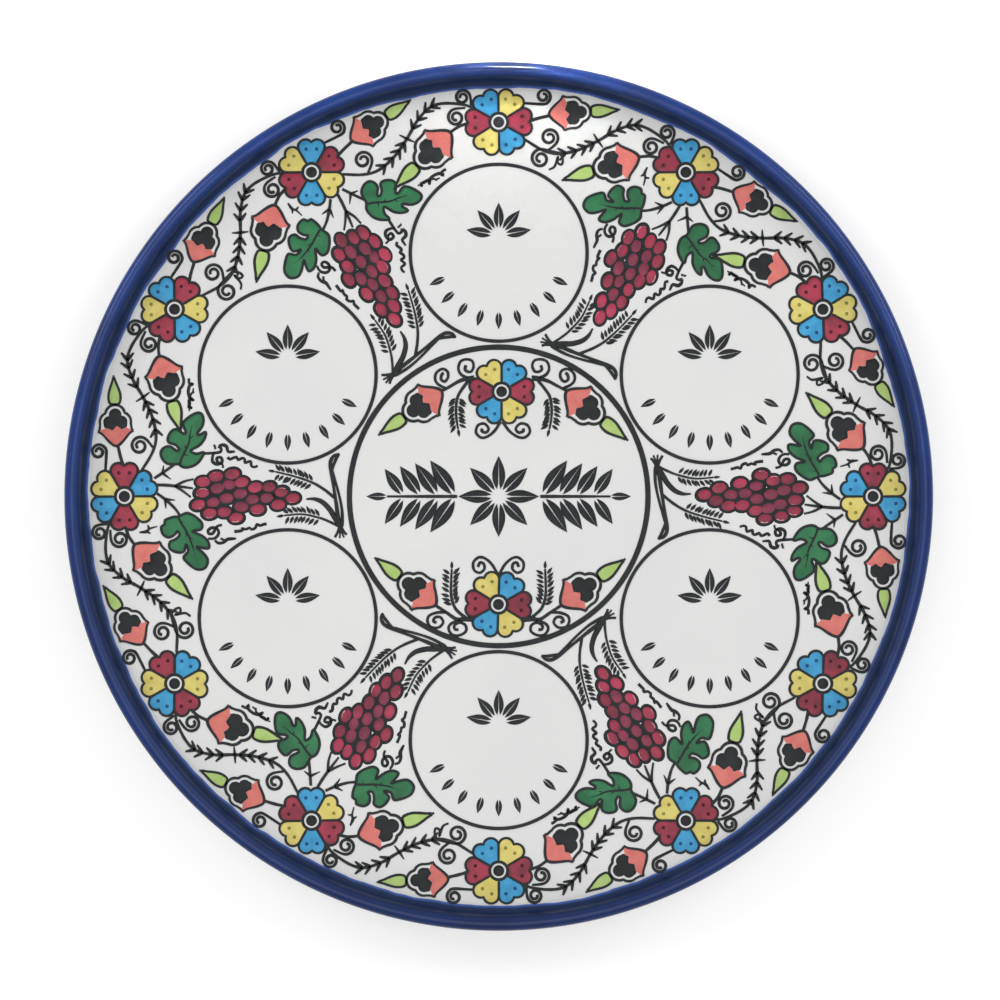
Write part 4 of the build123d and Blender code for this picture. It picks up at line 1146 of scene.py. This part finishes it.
tieShapes = [inkShape(inSectors([tie], bunchAngles), sheafLook["tieRise"] + sheafLook["tieStep"] * k)
             for k, tie in enumerate(sheafTies)]
inkPiece("sheafStems", joinShapes([inkShape(allStems, sheafLook["stemRise"]), *tieShapes]), drawnInPlace,
         ["sheaf_stems"])

blades = [stroke([(-10.6, 55.0), (-7.5, 56.9), (-4.6, 58.6), (-2.0, 61.2), (-0.9, 64.0), (-0.9, 66.8)],
                 (1.2, 1.5, 1.6, 1.5, 1.2, 0.5)),
          stroke([(-10.6, 54.8), (-9.2, 54.4), (-5.1, 54.4), (-0.5, 55.2), (4.7, 56.6), (9.3, 58.0)],
                 (1.2, 1.0, 0.8, 0.8, 0.8, 1.0)),
          stroke([(-10.6, 55.2), (-8.0, 55.7), (-3.4, 56.3), (2.4, 57.2), (8.2, 58.2), (11.1, 58.5),
                  (12.8, 58.2), (14.2, 57.1), (14.8, 55.4)], (1.2, 1.3, 1.2, 1.0, 0.9, 0.9, 1.1, 1.1, 0.6)),
          stroke([(9.3, 58.0), (11.6, 57.1), (13.4, 56.3), (14.8, 55.3)], (1.0, 0.9, 1.0, 0.6))]
bladeShape = joinShapes([inkShape([blade], sheafLook["bladeRise"] + sheafLook["bladeStep"] * k,
                                  wobble=sheafLook["bladeWobble"]) for k, blade in enumerate(blades)])
inkPiece("bladeLeaves", bladeShape, aroundPlate(6), ["blade_leaves"], seed=sheafLook["bladeSeed"])
print("wheat made:", len(grainSpots), "grains")


# laurel across the medallion, and leaf sprigs in the wells

laurelLook = {"leaf": 11.91, "leafWidth": 0.36, "slit": 0.45, "hub": 0.18, "star": 8, "gap": 0.95, "pairs": 4,
              "pairStep": 0.5, "firstSize": 1.2, "sizeStep": 0.1, "tip": 0.6, "slant": 55.0,
              "stem": (1.0, 0.9, 0.6), "stemFrom": 0.4, "stemMiddle": 30, "stemLeaves": 2.0, "seed": 61}


def veinedLeaf(length, slit):
    # two halves with a bare vein between them
    width = laurelLook["leafWidth"] * length
    upper = [(length * t, slit * (1 - t) / 2 + width / 2 * math.sin(math.pi * t ** 0.85))
             for t in np.linspace(0.03, 1, 12)]
    lower = [(length * t, slit * (1 - t) / 2) for t in np.linspace(0.03, 1, 7)]
    half = np.array(upper[:-1] + lower[:0:-1])
    return joinShapes([domedFill(side, rise=0.35, spacing=0.8, edge=0.5)
                       for side in (half, (half * (1, -1))[::-1])])


leaf = laurelLook["leaf"]
hub = laurelLook["hub"] * leaf
branchRoot = hub + leaf + laurelLook["gap"]
branchStep = laurelLook["pairStep"] * leaf
starTurn = 360 / laurelLook["star"]
laurelPlaces = [(*turnedSpot(hub, 0, starTurn * k), starTurn * k, 1.0) for k in range(laurelLook["star"])]
for facing in (0, 180):
    for pair in range(laurelLook["pairs"]):
        for slant in (-laurelLook["slant"], laurelLook["slant"]):
            off = turnedSpot(laurelLook["gap"], 0, slant)
            spot = turnedSpot(branchRoot + pair * branchStep + off[0], off[1], facing)
            laurelPlaces.append((*spot, slant + facing,
                                 laurelLook["firstSize"] - laurelLook["sizeStep"] * pair))
    tipSpot = turnedSpot(branchRoot + laurelLook["pairs"] * branchStep, 0, facing)
    laurelPlaces.append((*tipSpot, facing, laurelLook["tip"]))
inkPiece("laurelLeaves", veinedLeaf(leaf, laurelLook["slit"]), laurelPlaces, ["centre_laurel"],
         seed=laurelLook["seed"])
stemReach = (hub + leaf + laurelLook["stemFrom"], laurelLook["stemMiddle"],
             branchRoot + laurelLook["stemLeaves"] * leaf)
laurelStems = [stroke([(side * x, 0) for x in stemReach], laurelLook["stem"]) for side in (-1, 1)]
inkPiece("laurelStems", inkShape(laurelStems), drawnInPlace)

sprigLook = {"leaf": 9.0, "slit": 0.4, "root": 2.4, "rise": 0.2, "turns": (10, 50, 90, 130, 170),
             "arcLeaf": 6.0, "arcCount": 9, "arcRadius": 0.78, "arcSpan": 130.0, "seed": 63}
sprigPlaces, arcPlaces = [], []
for x, y in wellSpots:
    for turn in sprigLook["turns"]:
        root = turnedSpot(sprigLook["root"], 0, turn)
        sprigPlaces.append((x + root[0], y + sprigLook["rise"] * wellInner + root[1], turn, 1.0))
    for k in range(sprigLook["arcCount"]):
        turn = 270 + sprigLook["arcSpan"] * (k / (sprigLook["arcCount"] - 1) - 0.5)
        root = turnedSpot(sprigLook["arcRadius"] * wellInner - sprigLook["arcLeaf"] / 2, 0, turn)
        arcPlaces.append((x + root[0], y + root[1], turn, sprigLook["arcLeaf"] / sprigLook["leaf"]))
inkPiece("wellSprigs", veinedLeaf(sprigLook["leaf"], sprigLook["slit"]), sprigPlaces + arcPlaces,
         ["well_sprigs"], seed=sprigLook["seed"])
print("laurel and sprigs made")


# stage, light and camera, in metres

stageLook = {"floorSize": 3.0, "floorDrop": 0.0002, "floorColor": rgba(0.86, 0.86, 0.86), "lift": 0.3,
             "world": 0.6}
lampLook = {"overheadLight": {"place": (0, -0.35, 2.2), "size": (1.6, 1.6), "power": 9.2},
            "leftLight": {"place": (-0.9, 0.6, 0.9), "size": (0.6, 0.6), "power": 3.3},
            "rightLight": {"place": (0.9, 0.6, 0.9), "size": (0.6, 0.6), "power": 3.3},
            "streakLight": {"place": (0.035, 0.80, 0.76), "target": (0.010, 0.172, 0.02),
                            "size": (0.075, 0.05), "power": 0.019, "spread": 5.0}}
cameraLook = {"height": 1.5, "shiftX": 0.00045, "shiftY": -0.00124, "outlinePixels": 434.5,
              "framePixels": 1000, "sensor": 36.0}


def makeFloor():
    size, level = stageLook["floorSize"], -stageLook["floorDrop"]
    mesh = bpy.data.meshes.new("floor")
    mesh.from_pydata([(-size, -size, level), (size, -size, level), (size, size, level), (-size, size, level)],
                     [], [(0, 1, 2, 3)])
    floor = bpy.data.objects.new("floor", mesh)
    bpy.context.scene.collection.objects.link(floor)
    material = bpy.data.materials.new("floorPaper")
    material.use_nodes = True
    tree = material.node_tree
    tree.nodes.clear()
    paper = addNode(tree, "ShaderNodeBsdfDiffuse", {"Color": stageLook["floorColor"]})
    glow = addNode(tree, "ShaderNodeEmission", {"Strength": stageLook["lift"]})
    lit = addNode(tree, "ShaderNodeAddShader")
    rays = addNode(tree, "ShaderNodeLightPath")
    seen = addNode(tree, "ShaderNodeMath", operation="MAXIMUM")
    seenToo = addNode(tree, "ShaderNodeMath", operation="MAXIMUM")
    pick = addNode(tree, "ShaderNodeMixShader")
    clear = addNode(tree, "ShaderNodeBsdfTransparent")
    sideOf = addNode(tree, "ShaderNodeNewGeometry")
    fromBelow = addNode(tree, "ShaderNodeMixShader")
    out = addNode(tree, "ShaderNodeOutputMaterial")
    # the paper is lifted to white where it is seen, keeps the shadow, and is clear from below
    wire(tree, (paper, 0, lit, 0), (glow, 0, lit, 1), (rays, "Is Camera Ray", seen, 0),
         (rays, "Is Glossy Ray", seen, 1), (seen, 0, seenToo, 0), (rays, "Is Transmission Ray", seenToo, 1),
         (seenToo, 0, pick, 0), (paper, 0, pick, 1), (lit, 0, pick, 2), (sideOf, "Backfacing", fromBelow, 0),
         (pick, 0, fromBelow, 1), (clear, 0, fromBelow, 2), (fromBelow, 0, out, "Surface"))
    mesh.materials.append(material)
    floor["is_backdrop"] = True


def addAreaLight(name, place, size, power, target=(0, 0, 0), spread=180.0):
    data = bpy.data.lights.new(name, "AREA")
    data.shape = "RECTANGLE"
    data.size, data.size_y = size
    data.energy = power
    data.spread = math.radians(spread)
    lamp = bpy.data.objects.new(name, data)
    lamp.location = place
    lamp.rotation_euler = (Vector(target) - Vector(place)).to_track_quat("-Z", "Y").to_euler()
    bpy.context.scene.collection.objects.link(lamp)


makeFloor()
for name, lamp in lampLook.items():
    addAreaLight(name, **lamp)
world = bpy.data.worlds.new("studio")
world.use_nodes = True
world.node_tree.nodes["Background"].inputs["Color"].default_value = rgba(1, 1, 1)
world.node_tree.nodes["Background"].inputs["Strength"].default_value = stageLook["world"]
bpy.context.scene.world = world

cameraData = bpy.data.cameras.new("camera")
focalPixels = cameraLook["outlinePixels"] * (cameraLook["height"] - crestHeight * mm) / (plateRadius * mm)
cameraData.sensor_width = cameraLook["sensor"]
cameraData.lens = cameraLook["sensor"] * focalPixels / cameraLook["framePixels"]
camera = bpy.data.objects.new("camera", cameraData)
camera.location = (cameraLook["shiftX"], cameraLook["shiftY"], cameraLook["height"])
bpy.context.scene.collection.objects.link(camera)
bpy.context.scene.camera = camera
bpy.context.scene.view_settings.view_transform = "Standard"

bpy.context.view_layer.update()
triangles = sum(sum(len(p.vertices) - 2 for p in piece.data.polygons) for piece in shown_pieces())
print("pieces:", pieceCount, "triangles:", triangles)
